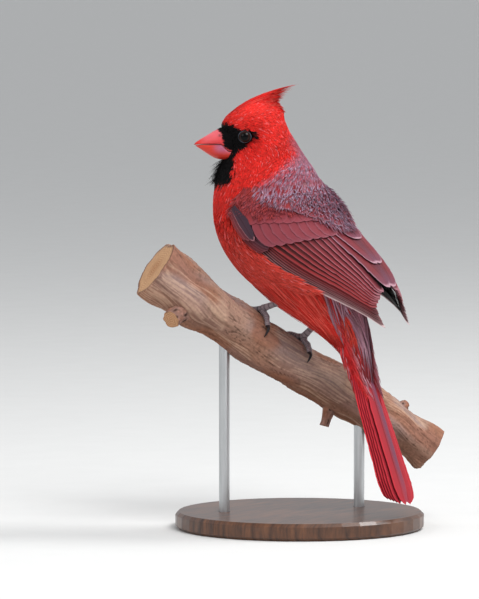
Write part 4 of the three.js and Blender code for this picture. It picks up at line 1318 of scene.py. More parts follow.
def soft_regions(t, a):
    """Which roots stand on the arm, on the shoulder and on the flank, and how far below the flank's
    line each one is, in degrees."""
    above = a - np.interp(t, *SCAPULAR_EDGE)
    below = np.interp(t, *FLANK_EDGE) - a
    on_arm = (t < np.interp(a, [-2, 8], [1.4, 2.0])) & (a > -22 + 5 * np.abs(t - 1.5))
    return {
        "arm": on_arm & (above < np.interp(t, [0.9, 1.6], [11, -8])),
        "shoulder": (above > 8) & (a < 92) & (t < 3.0),
        "flank": (below > 2.2) & (below < 28) & (t > 1.2),
    }, below


def soft_look(kind, p, t, below, rng):
    """Length, width, lift, colour, fringe and the other settings of one kind of soft feather."""
    n = len(t)
    if kind == "arm":
        colour = mix(paint(156, 48, 44), paint(142, 54, 58), rng.random(n))
        fringe = mix(paint(158, 66, 66), paint(152, 80, 88), rng.random(n))
        lift = np.interp(t, [0.0, 0.9, 1.5, 2.0], [0.2, 1.9, 2.7, 2.9])
        return np.full(n, 5.8), np.full(n, 3.6), lift, colour, fringe, dict(sink=0.3)
    if kind == "shoulder":
        colour = mix(MANTLE_RED, paint(136, 42, 48), rng.random(n))
        fringe = mix(LILAC, paint(160, 140, 162), rng.random(n))
        length = np.interp(t, [0.0, 3.0], [7.0, 10.0]) * rng.uniform(0.85, 1.15, n)
        lift = np.interp(t, [0.0, 1.0, 3.0], [0.3, 3.0, 3.5])
        others = dict(sink=0.3, pale=0.05, **MANTLE_LOOK)
        return length, np.full(n, MANTLE_WIDTH), lift, colour, fringe, others
    colour, fringe, _, _ = plumage(p, t + 10, np.full(n, -60.0))
    lift = np.interp(below, [2, 9, 26], [1.2, 1.0, 0.3])
    return np.full(n, 8.0), np.full(n, 3.2), lift, colour, fringe, dict(pale=0.06)


def soft_wing_feathers(side, rng):
    """Tufts of each kind, pointing down the wing's rows with a little chance to either side."""
    groups = []
    t, angle = scatter(WING_FORM, 0.0, 6.2, lambda t: 1.9, rng)
    a = ((angle + 180) % 360) - 180
    regions, below = soft_regions(t, a)
    for kind, keep in regions.items():
        roots_t, real = t[keep], on_side(side, a[keep])
        p, normal, along, _ = form_frame(WING_FORM, roots_t, real)
        way = along_surface(along, normal)
        way = unit(way + np.cross(normal, way) * rng.normal(0, 0.1, (len(way), 1)))
        *look, others = soft_look(kind, p, roots_t, below[keep], rng)
        groups.append(tufts(WING_FORM, roots_t, real, way, *look, rng, **others))
    return join_parts(groups)


for side, name in ((1, "left_shoulder"), (-1, "right_shoulder")):
    pieces = make_coat(name, soft_wing_feathers(side, np.random.default_rng(31)))
    print(name, [len(p.data.polygons) for p in pieces])

# %% [markdown]
# ## Tail
#
# Twelve long feathers close like a fan: the middle pair lies on top, and each pair beside it lies
# a little lower and further out, so that only its outer edge shows. They are the wing's vanes again,
# but straight, so each is placed on the tail's own axes: along it, across it and out from its top.

# %% Tail
TAIL_ROOT = np.array([0, 24.5, 106.5])
TAIL_LENGTH = 98.6
TAIL_LEAN = math.radians(20.4)
TAIL_ALONG = np.array([0, math.sin(TAIL_LEAN), -math.cos(TAIL_LEAN)])
TAIL_OUT = np.array([0, math.cos(TAIL_LEAN), math.sin(TAIL_LEAN)])
ACROSS = np.array([1.0, 0, 0])
TAIL_RED = paint(148, 40, 50)
TAIL_EDGE = paint(196, 44, 54)
TAIL_GREY = paint(112, 62, 80)
TAIL_HALO = paint(164, 44, 54)
TAIL_PAIRS = 6


def tail_place(s, x, out):
    """Root + along * s + across * x + out * out."""
    return TAIL_ROOT + TAIL_ALONG * s[..., None] + ACROSS * x[..., None] + TAIL_OUT * out[..., None]


def tail_feather(k, side, rng):
    """Feather k of one side: its reach, its x and its height each go evenly from root to tip."""
    middle = 0.4 * side if k == 0 else 0
    spread = 2.6 + 0.98 * k + (1.3 if k else 0)
    reach = (12, TAIL_LENGTH - 0.9 * k)
    x = (side * (0.5 + 0.7 * k), side * spread)
    height = (0.6 - 0.4 * k + middle, 1.6 - 0.8 * k + middle)
    u = np.linspace(0, 1, 40) ** 0.95
    p = tail_place(*(low + (high - low) * u for low, high in (reach, x, height)))
    along, out = np.broadcast_to(TAIL_ALONG * side, p.shape), np.broadcast_to(TAIL_OUT, p.shape)
    painted = vane_paint(
        TAIL_RED, TAIL_EDGE, TAIL_GREY, SHAFT, edge_width=0.16, tip_from=0.985,
        edge_gain=0.9 if k == TAIL_PAIRS - 1 else 0.4, halo=TAIL_HALO, halo_gain=0.5)
    points, faces, tint, uv = vane(p, along, out, 4.7, 0.9 if k else 0.3, 0.25, u, painted, rng, blunt=0.86)
    return points, faces if side > 0 else faces[:, ::-1], tint, uv


heap = Heap()
rng = np.random.default_rng(41)
for k in range(TAIL_PAIRS):
    for side in (-1, 1):
        heap.add(*tail_feather(k, side, rng))
tail = heap.make("tail_vanes", VANE, "Vane")
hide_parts("tail")
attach(tail, "root")
print("tail", len(tail.data.polygons), "faces")

# %% [markdown]
# ## Root of the tail
#
# Under the coverts the tail has a fleshy root. Feathers alone would let light through there, so a
# short tapering core fills their inside. It is a tube with a higher or lower half oval on each side.

# %% Tail core
# Half width, rise over the tail and depth under it, by distance along the tail
CORE_STEPS = np.array([-8, 6, 20, 34, 46.0])
CORE = np.array([[7.0, 4.0, 5.2], [8.8, 4.6, 6.2], [8.8, 3.2, 4.7], [7.8, 1.4, 2.4], [5.8, 0.4, 0.8]])
CORE_RED = paint(150, 30, 32)


def core_place(s, angle, grow=0.0):
    """Middle + across * wide * cos(angle) + out * rise * sin(angle); the rise differs over and under."""
    a = np.radians(angle)
    row = row_at(CORE, np.interp(s, CORE_STEPS, np.arange(len(CORE))))
    rise = np.where(np.sin(a) > 0, row[..., 1], row[..., 2]) + grow
    return tail_place(s, (row[..., 0] + grow) * np.cos(a), rise * np.sin(a) - 1.2)


def core_out(angle):
    """The way out of the core at an angle round it."""
    a = np.radians(angle)[:, None]
    return unit(TAIL_OUT * np.sin(a) + ACROSS * np.cos(a))


steps, angles = np.meshgrid(np.linspace(-8, 46, 28), np.arange(0, 360, 10.0), indexing="ij")
core_rings = core_place(steps, angles, -0.6)
flat, faces = close_rings(core_rings, core_rings[0].mean(0), core_rings[-1].mean(0))
core_tint = np.broadcast_to(CORE_RED, flat.shape)
core = make_mesh("tail_root", PLUMAGE, flat, faces, core_tint, np.full((len(flat), 2), 0.005), "OFBake")
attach(core, "root")
print("tail root", len(faces), "triangles")

# %% [markdown]
# ## Feathers that leave the body
#
# The coverts grow on the body and end on the tail, and the thigh's feathers end on the shank, so
# they can't follow one form. Each is a bundle of curved strands that start together and spread, the
# middle one longest.

# %% Fans
def fans(a, b, c, width, out, colour, fringe, rng, uv_at, blades=5, side_mix=0.8):
    """Blade j lies beside the curve by its share of half the width, fully so at the tip, and is
    shorter by 0.3 * share^2. The outer blades have the fringe's colour."""
    n = len(a)
    fan = np.linspace(-1, 1, blades)[None, :] + rng.normal(0, 0.1, (n, blades))
    side = unit(np.cross(c - a, out))[:, None]
    spread = (fan * width[:, None] * 0.5)[..., None]
    short = (0.3 * fan**2 + rng.uniform(0, 0.12, (n, blades)))[..., None]
    root_place = a[:, None] + side * spread * 0.15
    bend_place = b[:, None] + side * spread * 0.8
    tip_place = c[:, None] + side * spread - (c - b)[:, None] * short
    at_tip = 0.05 + side_mix * smoothstep(0.45, 0.95, np.abs(fan))
    at_root = side_mix * smoothstep(0.6, 1, np.abs(fan)) * 0.5
    tip, root = (mix(colour[:, None], fringe[:, None], np.clip(share, 0, 1)) for share in (at_tip, at_root))
    wide = np.repeat(width / blades * 0.75, blades)
    out, uv_at = (np.repeat(v, blades, 0) for v in (out, uv_at))
    places = (v.reshape(-1, 3) for v in (root_place, bend_place, tip_place))
    # The root colour at 0.9 is painted shade where the fans start under other feathers.
    return strands(
        *places, wide, out, 0.1, (root * 0.9).reshape(-1, 3), tip.reshape(-1, 3), rng, uv_at, sections=5)


print("fans ready")

# %% [markdown]
# ## Coverts over and under the tail
#
# Long loose feathers of the rump and vent run out over the tail's root. Those above are dull red
# with grey edges, and those below are the belly's red. One set grows on the body and reaches back,
# and a second set stands in staggered rows on the root itself, each row over the next.

# %% Coverts over and under the tail
BODY_COVERTS = 1300
COVERT_ROWS = (14.6, 18.7)
UPPER_REDS = (paint(176, 50, 50), paint(158, 46, 50))
UPPER_GREY = paint(164, 138, 152)


def body_coverts(count, rng):
    """Curves from the body's last rows to the tail's root, further along it the lower they start."""
    t = rng.uniform(*COVERT_ROWS, count)
    angle = rng.uniform(-180, 180, count)
    a, normal, along, _ = form_frame(BODY, t, angle)
    upper = np.sin(np.radians(angle)) + rng.normal(0, 0.1, count) > 0.68
    reach = np.interp(t, COVERT_ROWS, [4, 33]) + rng.uniform(-3, 9, count)
    reach = np.where(upper, reach + 10, reach)
    c = core_place(np.clip(reach, -6, 46), angle + rng.normal(0, 7, count), 0.9)
    b = a + unit(along) * (np.linalg.norm(c - a, axis=1) * 0.45)[:, None]
    out = unit(mix(normal, core_out(angle), np.full(count, 0.6)))
    above = upper[:, None]
    reds = mix(*UPPER_REDS, rng.random(count))
    colour = np.where(above, reds, mix(BRICK, BRIGHT_RED, rng.random(count) * 0.7))
    greys = mix(LILAC, UPPER_GREY, rng.random(count))
    fringe = np.where(above, greys, mix(PALE_RED, BRICK, rng.random(count)))
    width = np.where(upper, 5.6, 3.2)
    return fans(a - normal * 0.8, b, c, width, out, colour, fringe, rng, body_uv(t, angle))


def covert_tiers(rng):
    """Pointed feathers in staggered rows on the root, 3.2 mm and 15 degrees apart."""
    s, angle = np.meshgrid(np.arange(-6, 36, 3.2), np.arange(0, 180, 15.0), indexing="ij")
    stagger = 7.5 * (np.arange(len(s)) % 2)[:, None]
    angle = (angle + stagger).ravel() + rng.normal(0, 3, s.size)
    s = s.ravel() + rng.normal(0, 1.0, angle.size)
    n = len(s)
    rise = 0.9 * ((s + 6) / 42)
    low = core_place(s, angle, -0.4)
    high = core_place(s + rng.uniform(13, 17, n), angle, 1.5 - rise)
    bend = core_place(s + 7, angle, 1.9 - rise)
    greyness = smoothstep(10, 34, angle)
    centre = mix(paint(190, 40, 42), paint(168, 50, 52), greyness)
    rim = mix(paint(196, 66, 68), paint(176, 136, 148), greyness)
    uv = body_uv(np.full(n, 18.0), angle)
    return fans(low, bend, high, np.full(n, 6.0), core_out(angle), centre, rim, rng, uv, blades=9)


rng = np.random.default_rng(43)
covert_parts = join_parts([body_coverts(BODY_COVERTS, rng), covert_tiers(rng)])
coverts = make_mesh("tail_coverts", PLUMAGE, *covert_parts, "OFBake")
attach(coverts, "root")
print("coverts", len(coverts.data.polygons), "triangles")

# %% [markdown]
# ## Bill
#
# The bill is a short deep cone in two halves. The upper one has a curved ridge and the lower one a
# flat keel, and the line where they meet drops sharply near the corner of the mouth. It could be
# modelled from a box, but a few rows of heights and widths, read from its side view, give rings that
# a smooth surface runs through.

# %% Bill
# Forward, ridge, mouth, keel and half width
BILL = np.array([
    [9.5, 187.4, 174.8, 170.9, 6.6],
    [13.5, 186.8, 175.4, 170.9, 6.5],
    [16.6, 186.1, 178.2, 171.1, 6.1],
    [20.0, 184.8, 178.4, 171.9, 5.2],
    [23.5, 182.7, 178.4, 173.9, 4.1],
    [26.5, 180.9, 178.3, 175.9, 2.7],
    [28.8, 179.4, 178.0, 177.4, 1.2],
])
BILL_TIPS = {True: (30.0, 178.1), False: (29.2, 177.6)}
HALF_GAP = 0.15
NOSTRIL = (17.6, 182.6)


def nostril(forward, height, long, high):
    """1 at the nostril, falling off as exp(-(distance / size)^2) each way."""
    return np.exp(-(((forward - NOSTRIL[0]) / long) ** 2) - ((height - NOSTRIL[1]) / high) ** 2)


def mandible(upper):
    """Rings along the bill: half an oval over the ridge or keel, then straight back at the mouth."""
    rows = row_at(BILL, np.linspace(0, len(BILL) - 1, 70))
    arc = np.linspace(0, np.pi, 33)
    half_width = rows[:, 4][:, None]
    line = (rows[:, 2] + (HALF_GAP if upper else -HALF_GAP))[:, None]
    reach = rows[:, 1 if upper else 3][:, None] - line
    back_side = half_width * np.linspace(-1, 1, 9)[1:-1]
    left = np.concatenate([half_width * np.cos(arc), back_side], 1)
    height = np.concatenate([line + reach * np.sin(arc) ** 0.85, np.broadcast_to(line, back_side.shape)], 1)
    forward = np.broadcast_to(rows[:, :1], left.shape)
    if upper:
        left = left - np.sign(left) * 0.7 * nostril(forward, height, 0.9, 0.8)
    return head_place(forward, left, height), forward, height


def bill_tint(upper, forward, height):
    """Coral red with a painted highlight in pink along the ridge, orange at the tip, and painted shade
    along the mouth line and in the nostril.
    """
    if upper:
        # Painted highlight: the upper half turns pinker towards the top of its ridge.
        ridge_highlight = smoothstep(179.5, 184.5, height + 0.25 * (forward - 18))
        tint = mix(paint(196, 56, 60), paint(216, 96, 104), ridge_highlight)
        tint = mix(tint, paint(206, 44, 34), smoothstep(23, 29, forward))
        # Painted shade in the nostril.
        tint = mix(tint, paint(90, 30, 40), 0.8 * nostril(forward, height, 0.8, 0.6))
    else:
        at_base = smoothstep(22.0, 17.0, forward) * smoothstep(173.2, 176.8, height)
        tint = mix(paint(202, 54, 40), paint(172, 92, 120), at_base)
    # Painted shade: dark along the mouth line, where the two halves meet.
    from_mouth = np.abs(height - np.interp(forward, BILL[:, 0], BILL[:, 2]))
    return with_ends(mix(tint, paint(110, 30, 34), 0.55 * smoothstep(0.5, 0.0, from_mouth)))


def horn_material():
    """Horn lets a little light in and has fine streaks along it."""
    material, tree, shader = new_material("horn", roughness=0.42, coat=0.05, specular=0.3)
    fill(shader, {"Subsurface Weight": 0.08, "Subsurface Radius": (0.002, 0.0008, 0.0005)})
    streak = noise(tree, object_coordinates(tree, (500, 500, 1400)), 1.0, 3.0)
    tinted(tree, shader, streak, 0.86, 1.12)
    bumped(tree, shader, streak, 0.15, 0.0002)
    return material


HORN = horn_material()
for upper, name, node_name in ((True, "upper_bill", "bill_upper"), (False, "lower_bill", "bill_lower")):
    rings, forward, height = mandible(upper)
    tip_forward, tip_height = BILL_TIPS[upper]
    flat, faces = close_rings(rings, rings[0].mean(0), head_place(tip_forward, 0.0, tip_height))
    bill = make_mesh(name, HORN, flat, faces, bill_tint(upper, forward, height))
    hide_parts(node_name)
    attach(bill, "root")
    print(name, len(faces), "triangles")

# %% [markdown]
# ## Eyes
#
# The eye is a dark glossy ball whose brown iris is hardly lighter than the pupil. A thin bare
# ring of dark beaded skin holds it, with a broken blue-grey line on its outer face as a painted
# reflection. Both are worked out on the same three ways: out of the head, across and over. The gloss
# of the ball comes from the shader, so that the light that it mirrors is real.

# %% Eyes
EYE_RADIUS = 3.4
EYE_LEFT = 9.5
LID_AROUND, LID_SECTION = 72, 14
PUPIL = paint(5, 5, 8)


def eye_material():
    """The vertices' Tint under a nearly smooth surface."""
    material, tree, shader = new_material("eye", roughness=0.03, specular=0.12)
    tint = node(tree, "ShaderNodeVertexColor", layer_name="Tint")
    tree.links.new(tint.outputs["Color"], shader.inputs["Base Color"])
    return material


def eye_frame(side):
    """The eye's middle, and the ways out of the head, across the eye and over it."""
    centre = head_place(EYE_FORWARD, side * EYE_LEFT, EYE_HEIGHT)
    outward = unit(HEAD_LEFT * side + HEAD_FORWARD * 0.18)
    across = unit(np.cross(UP, outward))
    return centre, outward, across, np.cross(outward, across)


def circle(count):
    """Angles spaced evenly round a full turn."""
    return np.linspace(0, 2 * np.pi, count, endpoint=False)


def eyeball(centre, outward, across, over):
    """Centre + radius * (out * cos p + (across * cos r + over * sin r) * sin p), an iris round p = 1."""
    p, r = np.meshgrid(np.linspace(0.02, np.pi - 0.02, 40), circle(48), indexing="ij")
    out_part, across_part, over_part = np.cos(p), np.sin(p) * np.cos(r), np.sin(p) * np.sin(r)
    rings = centre + EYE_RADIUS * (
        outward * out_part[..., None] + across * across_part[..., None] + over * over_part[..., None])
    iris = smoothstep(0.52, 0.6, p) * smoothstep(1.2, 0.9, p)
    flat, faces = close_rings(rings, centre + outward * EYE_RADIUS, centre - outward * EYE_RADIUS)
    return flat, faces, with_ends(mix(PUPIL, paint(40, 24, 20), iris))


def eyelid(centre, outward, across, over):
    """A ring of round section with 24 beads, a little wider than high."""
    u, w = np.meshgrid(circle(LID_AROUND), circle(LID_SECTION), indexing="ij")
    beads = 1 + 0.14 * np.sin(24 * u)
    radius = 2.85 + 0.2 * np.cos(w) * beads
    raised = outward * (1.9 + 0.26 * np.sin(w) * beads)[..., None]
    points = (centre + raised + across * (radius * np.cos(u) * 1.06)[..., None]
              + over * (radius * np.sin(u) * 0.94)[..., None])
    faces = grid_faces(LID_AROUND + 1, LID_SECTION, wrap=True) % (LID_AROUND * LID_SECTION)
    # Painted reflection: a broken blue-grey line along the lid's outer face, over dark skin.
    pale = smoothstep(0.4, 1.0, np.sin(w)) * (0.55 + 0.45 * np.sin(3 * u + 1))
    tint = mix(paint(14, 14, 18), paint(72, 78, 90), pale)
    return points.reshape(-1, 3), faces, tint.reshape(-1, 3)


EYE_GLOSS = eye_material()
LID = grained("lid", 2200.0, 0.7, 1.3, 0.4, roughness=0.5, specular=0.3)
for side, name in ((1, "left"), (-1, "right")):
    eye = make_mesh(f"{name}_eye", EYE_GLOSS, *eyeball(*eye_frame(side)))
    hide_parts(f"eye_{name}")
    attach(eye, "root")
    lid = make_mesh(f"{name}_lid", LID, *eyelid(*eye_frame(side)))
    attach(lid, "root")
    print(name, "eye", len(eye.data.polygons), "and lid", len(lid.data.polygons))

# %% [markdown]
# ## The branch's form
#
# The perch is a short length of old juniper. Its surface is a tube whose radius changes with the
# distance along it and the angle round it: slow waves for its lumps, a knot and a flare. The CAD
# solid has the same formula, and the feet are placed with it too, so that they stand on the bark.

# %% Perch form
PERCH_MID = np.array([0.25, -9.8, 79.2])
PERCH_SLOPE = math.radians(33.5)
PERCH_HEADING = unit(np.array([-0.813, 0.582, 0]))
PERCH_ALONG = PERCH_HEADING * math.cos(PERCH_SLOPE) - UP * math.sin(PERCH_SLOPE)
PERCH_SIDE = unit(np.cross(UP, PERCH_HEADING))
PERCH_TOP = unit(np.cross(PERCH_ALONG, PERCH_SIDE))
PERCH_ENDS = (-76, 86)
BRANCH_RADIUS = 10.8


def perch_middle(s):
    """Middle + along * s + top * bow, where the bow is a sine and a cosine of the distance."""
    s = np.asarray(s, float)
    bow = 1.6 * np.sin(np.pi * s / 90) - 1.1 * np.cos(np.pi * s / 70) + 1.1
    return PERCH_MID + PERCH_ALONG * s[..., None] + PERCH_TOP * bow[..., None]


def perch_radius(s, r):
    """Lumps that calm down under the feet, a knot and a flare towards the thick end."""
    calm = np.exp(-(((s - 2) / 30) ** 2))
    lumps = (0.9 * np.sin(0.11 * s + 2 * r) + 0.6 * np.sin(0.23 * s - 3 * r + 1)
             + 0.45 * np.sin(5 * r + 0.05 * s) + 0.3 * np.sin(9 * r - 0.08 * s + 2))
    knot = 2.2 * np.exp(-(((s + 52) / 9) ** 2)) * np.maximum(0, np.cos(r - math.radians(230)))
    flare = 1.6 * np.exp(-(((s + 70) / 24) ** 2))
    return BRANCH_RADIUS + (1 - 0.7 * calm) * lumps + knot + flare - 0.008 * s


def perch_point(s, degrees, grow=0.0):
    """Middle + side * radius * cos(r) + top * radius * sin(r)."""
    r = np.radians(np.asarray(degrees, float))
    size = perch_radius(np.asarray(s, float), r) + grow
    aside, above = (size * np.cos(r))[..., None], (size * np.sin(r))[..., None]
    return perch_middle(s) + PERCH_SIDE * aside + PERCH_TOP * above


print("branch from", perch_middle(PERCH_ENDS[0]).round(1), "to", perch_middle(PERCH_ENDS[1]).round(1))

# %% [markdown]
# ## Bark
#
# Juniper bark is fibrous: long furrows run along it, strips peel away, and pale bare wood shows
# between patches of bark. Each of these is noise that is stretched along the branch by its own
# amount. The same numbers raise the surface and colour it, so that a furrow is both deep and dark:
# the dark in the cracks is painted shade, and so is the darker red of the underside.

# %% Bark
BARK_ROUND = 200
BARK_ROWS = 430
TAN = paint(160, 128, 112)
GREY_BARK = paint(142, 118, 112)
RED_BARK = paint(140, 92, 70)
PALE_WOOD = paint(196, 166, 142)
DARK_BARK = paint(70, 50, 44)
bark_s, bark_degrees = np.meshgrid(
    np.linspace(*PERCH_ENDS, BARK_ROWS), np.arange(BARK_ROUND) * 360 / BARK_ROUND, indexing="ij")
# Turns round the branch, with a slow twist so that no furrow is straight
slow_twist = 0.02 * np.sin(bark_s * 0.05)
bark_turn = bark_degrees / 360 + slow_twist + 0.012 * np.sin(bark_s * 0.17 + bark_degrees / 40)


def bark_noise(per_mm, per_turn, seed, offset=0):
    """Noise with a number of cells per millimetre along the branch and per turn round it."""
    return value_noise(bark_s * per_mm + offset, bark_turn * per_turn, seed, per_turn)


threads = bark_noise(0.12, 150, 76)
crumbs = bark_noise(0.9, 64, 73)
flakes = smoothstep(0.47, 0.55, bark_noise(0.045, 11, 72, 9) + 0.16 * (threads - 0.5))
grooves = np.abs(bark_noise(0.05, 72, 71) - 0.5) * 2
cracked = smoothstep(0.35, 0.6, bark_noise(0.08, 20, 77, 3))
crack = smoothstep(0.13, 0.02, grooves) * (0.15 + 0.6 * flakes) * cracked
relief = 0.5 * flakes + 0.35 * (threads - 0.5) - 0.75 * crack
relief = relief + 0.22 * (crumbs - 0.5) * (0.4 + 0.6 * flakes) - 0.25
# Painted shade: the underside of the branch is made darker, in a darker red.
underside_shade = smoothstep(0.2, -0.8, np.sin(np.radians(bark_degrees)))
bark_tint = mix(TAN, GREY_BARK, smoothstep(0.35, 0.7, bark_noise(0.05, 7, 74)))
bark_tint = mix(bark_tint, RED_BARK, 0.7 * smoothstep(0.5, 0.75, bark_noise(0.06, 9, 75, 5)))
bark_tint = mix(bark_tint, RED_BARK * 0.8, 0.6 * underside_shade)
bark_tint = mix(bark_tint, PALE_WOOD, 0.35 * (1 - flakes) * smoothstep(0.3, 0.7, threads))
# DARK_BARK in the cracks is painted shade; the dark specks on the flakes are the bark's own colour.
bark_tint = mix(bark_tint, DARK_BARK, 0.8 * crack + 0.35 * smoothstep(0.62, 0.8, crumbs) * flakes)
# Lighter where the threads and crumbs rise and darker where they sink: grain, and partly painted shade.
bark_tint = bark_tint * (0.78 + 0.25 * threads + 0.2 * crumbs)[..., None]
print("bark relief from", relief.min().round(2), "to", relief.max().round(2), "mm")

# %% [markdown]
# ## The cut branch
#
# The branch ends in two sawn faces with growth rings. A flat cap would need its own material, but
# rings of vertices that shrink to the pith carry the wood's colours in the same mesh.

# %% Perch
SAWN_RINGS = 30
GROWTH_RATE = 75


def sawn_end(s, rim, rim_tint):
    """Rings from the rim to the middle, with growth rings as a wave of the distance from the pith."""
    share = np.linspace(0.97, 0.03, SAWN_RINGS)[:, None]
    middle = perch_middle(s)
    points = middle + (rim - middle)[None] * share[..., None]
    years = 0.5 + 0.5 * np.sin(share * GROWTH_RATE + 1.5 * np.sin(3 * np.radians(bark_degrees[:1])))
    wood = mix(paint(198, 160, 124), paint(150, 100, 68), years * 0.7 + 0.3 * smoothstep(0.6, 0.1, share))
    wood = mix(wood, rim_tint[None] * 0.7, smoothstep(0.86, 0.95, share) * np.ones(len(rim)))
    return points, wood


BARK = grained("bark", 700.0, 0.72, 1.28, 0.7, 0.0005, detail=4.0, fine=0.7, roughness=0.88, specular=0.15)
bark_points = perch_point(bark_s, bark_degrees, relief)
low_points, low_tint = sawn_end(PERCH_ENDS[0], bark_points[0], bark_tint[0])
high_points, high_tint = sawn_end(PERCH_ENDS[1], bark_points[-1], bark_tint[-1])
perch_rings = np.concatenate([low_points[::-1], bark_points, high_points])
perch_tint = np.concatenate([low_tint[::-1], bark_tint, high_tint])
flat, faces = close_rings(perch_rings, perch_middle(PERCH_ENDS[0]), perch_middle(PERCH_ENDS[1]))
perch = make_mesh("juniper_perch", BARK, flat, faces, with_ends(perch_tint))
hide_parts("perch")
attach(perch, "root")
print("perch", len(faces), "triangles")

# %% [markdown]
# ## Twigs
#
# Three side twigs were cut off short. Each is a small tube that starts inside the branch, with a
# flared foot, furrows and a sawn face. Three separate meshes would do as well, but they are one
# finish and never move, so they share one.

# %% Twigs
TWIG_ROWS, TWIG_FACE, TWIG_AROUND = 90, 14, 64
TWIGS = [(-50, 232, 12, 4.2, -0.5), (62, 40, 9, 2.6, 0.4), (30, 268, 8, 2.2, 0.3)]


def twig(s, degrees, length, radius, lean):
    """Root + way * d + (side * cos(a) + other * sin(a)) * radius * flare * furrows * shrink, where
    the shrink goes to nothing over the sawn face."""
    root = perch_middle(s)
    way = unit(unit(perch_point(s, degrees) - root) + PERCH_ALONG * lean)
    side = unit(np.cross(way, UP + 0.01))
    other = np.cross(way, side)
    stop = BRANCH_RADIUS + length
    shrink = np.concatenate([np.ones(TWIG_ROWS), np.linspace(0.96, 0.05, TWIG_FACE)])[:, None]
    d, a = np.meshgrid(
        np.concatenate([np.linspace(4, stop, TWIG_ROWS), np.full(TWIG_FACE, stop)]),
        np.arange(TWIG_AROUND) * 2 * np.pi / TWIG_AROUND, indexing="ij")
    flare = 1 + 0.5 * np.exp(-np.maximum(d - BRANCH_RADIUS, 0) / 2.5)
    turn = a / (2 * np.pi)
    strips = value_noise(d * 0.3, turn * 16, 79, period=16)
    fine = value_noise(d * 0.9, turn * 32, 78, period=32)
    size = radius * flare * (0.86 + 0.22 * strips + 0.06 * fine) * shrink
    aside, across = (size * np.cos(a))[..., None], (size * np.sin(a))[..., None]
    rings = root + way * d[..., None] + side * aside + other * across
    # Painted shade: DARK_BARK where the strips sink into the twig's furrows.
    bark = mix(mix(GREY_BARK, RED_BARK, strips), DARK_BARK, smoothstep(0.4, 0.2, strips))
    even = np.ones(TWIG_AROUND)
    wood = mix(paint(190, 152, 118), paint(146, 98, 68), 0.5 + 0.5 * np.sin(shrink * 30) * even)
    tint = mix(bark * (0.7 + 0.5 * fine)[..., None], wood, (shrink < 0.97) * even)
    flat, faces = close_rings(rings, rings[0].mean(0), rings[-1].mean(0))
    return flat, faces, with_ends(tint)


heap = Heap()
for cut in TWIGS:
    heap.add(*twig(*cut))
twigs = heap.make("cut_twigs", BARK, "UVMap")
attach(twigs, "root")
print("twigs", len(twigs.data.polygons), "triangles")

# %% [markdown]
# ## Tubes along a path
#
# Shanks, toes and claws are all tubes that bend and change in thickness. A curve object with a bevel
# gives such a tube too, but its rings can't carry plates. Here a smooth curve runs through a few
# places, and a ring stands across it at every step.

# %% Tubes
def tube(path, radii, around=14, bumps=None, steps_each=8):
    """Ring = middle + (side * cos(a) + other * sin(a)) * radius, times bumps(u, a) where given."""
    steps = np.linspace(0, len(path) - 1, steps_each * (len(path) - 1) + 1)
    middle = row_at(np.asarray(path, float), steps)
    along = unit(np.gradient(middle, axis=0))
    side = unit(np.cross(along, UP + 0.01))
    other = np.cross(along, side)
    a = circle(around)
    radius = np.interp(steps, np.arange(len(radii)), radii)[:, None] * np.ones(around)
    if bumps is not None:
        radius = radius * bumps(steps[:, None] / (len(path) - 1), a[None, :])
    out = side[:, None] * (radius * np.cos(a))[..., None] + other[:, None] * (radius * np.sin(a))[..., None]
    return close_rings(middle[:, None] + out, middle[0], middle[-1])


print("a tube through 3 places has", len(tube([[0, 0, 0], [1, 0, 0], [2, 0, 0]], [1, 1, 1])[0]), "vertices")

# %% [markdown]
# ## Legs and feet
#
# The shank is bare and covered in horny plates. Three toes go over the branch and one comes round
# from behind, each with plates above and a curved claw. The toes could be posed with bones, but
# they are laid on the branch's own surface by angle and distance, so they grip it wherever it bends.

# %% Legs and feet
TARSUS_LENGTH = 24
JOINT_ANGLE = 97
LEGS = [
    dict(name="left", s=-21.5, heel=(0.02, 0.93, 0.3)),
    dict(name="right", s=3.0, heel=(-0.05, 0.73, 0.68)),
]
TOES = [
    dict(sweep=44, drift=4, claw=27, size=0.95),
    dict(sweep=-54, drift=8, claw=24, size=0.85),
    dict(sweep=-74, drift=0, claw=26, size=0.95),
    dict(sweep=-56, drift=-8, claw=24, size=0.85),
]
SHANK_STEPS = (0.2, 5, 12, 19, TARSUS_LENGTH)
SHANK_RADII = [1.7, 1.4, 1.3, 1.45, 1.7]
SHANK_AROUND, SHANK_PLATES = 20, 9
TOE_AROUND, TOE_PLATES, TOE_PARTS = 16, 11, 6
SHANK_GREY = paint(132, 118, 122)
SEAM = paint(44, 36, 40)
CLAW = paint(34, 28, 30)


def leg_frame(leg):
    """The joint on top of the branch, and the way from it up the shank."""
    return perch_point(leg["s"], JOINT_ANGLE, 3.0), unit(np.array(leg["heel"]))


def plate_steps(plates):
    """Each plate is 9% thicker at its start, on the side that shows."""
    return lambda u, a: 1 + 0.09 * (1 - (u * plates) % 1) * (np.sin(a) > -0.4)


def plated(flat, around, plates, base):
    """Colours of the same plates: the seam between two of them is dark."""
    row_count = (len(flat) - 2) // around
    u = np.repeat(np.linspace(0, 1, row_count), around).reshape(row_count, around)
    seam = smoothstep(0.35, 0.0, np.abs(((u * plates) % 1) - 0.02))
    return with_ends(mix(base, SEAM, 0.8 * seam))


def toe_path(leg, toe):
    """Places over the branch from the joint on: the angle sweeps evenly and the toe drifts sideways."""
    path, radii = [leg_frame(leg)[0]], [1.6 * toe["size"]]
    for i in range(1, TOE_PARTS + 1):
        u = i / TOE_PARTS
        rise = 1.25 + 0.35 * math.sin(math.pi * u)
        path.append(perch_point(leg["s"] + toe["drift"] * u**0.8, JOINT_ANGLE + toe["sweep"] * u, rise))
        radii.append(1.5 * toe["size"] * (1 - 0.22 * u) * (1.12 if i % 2 else 0.92))
    return path, radii


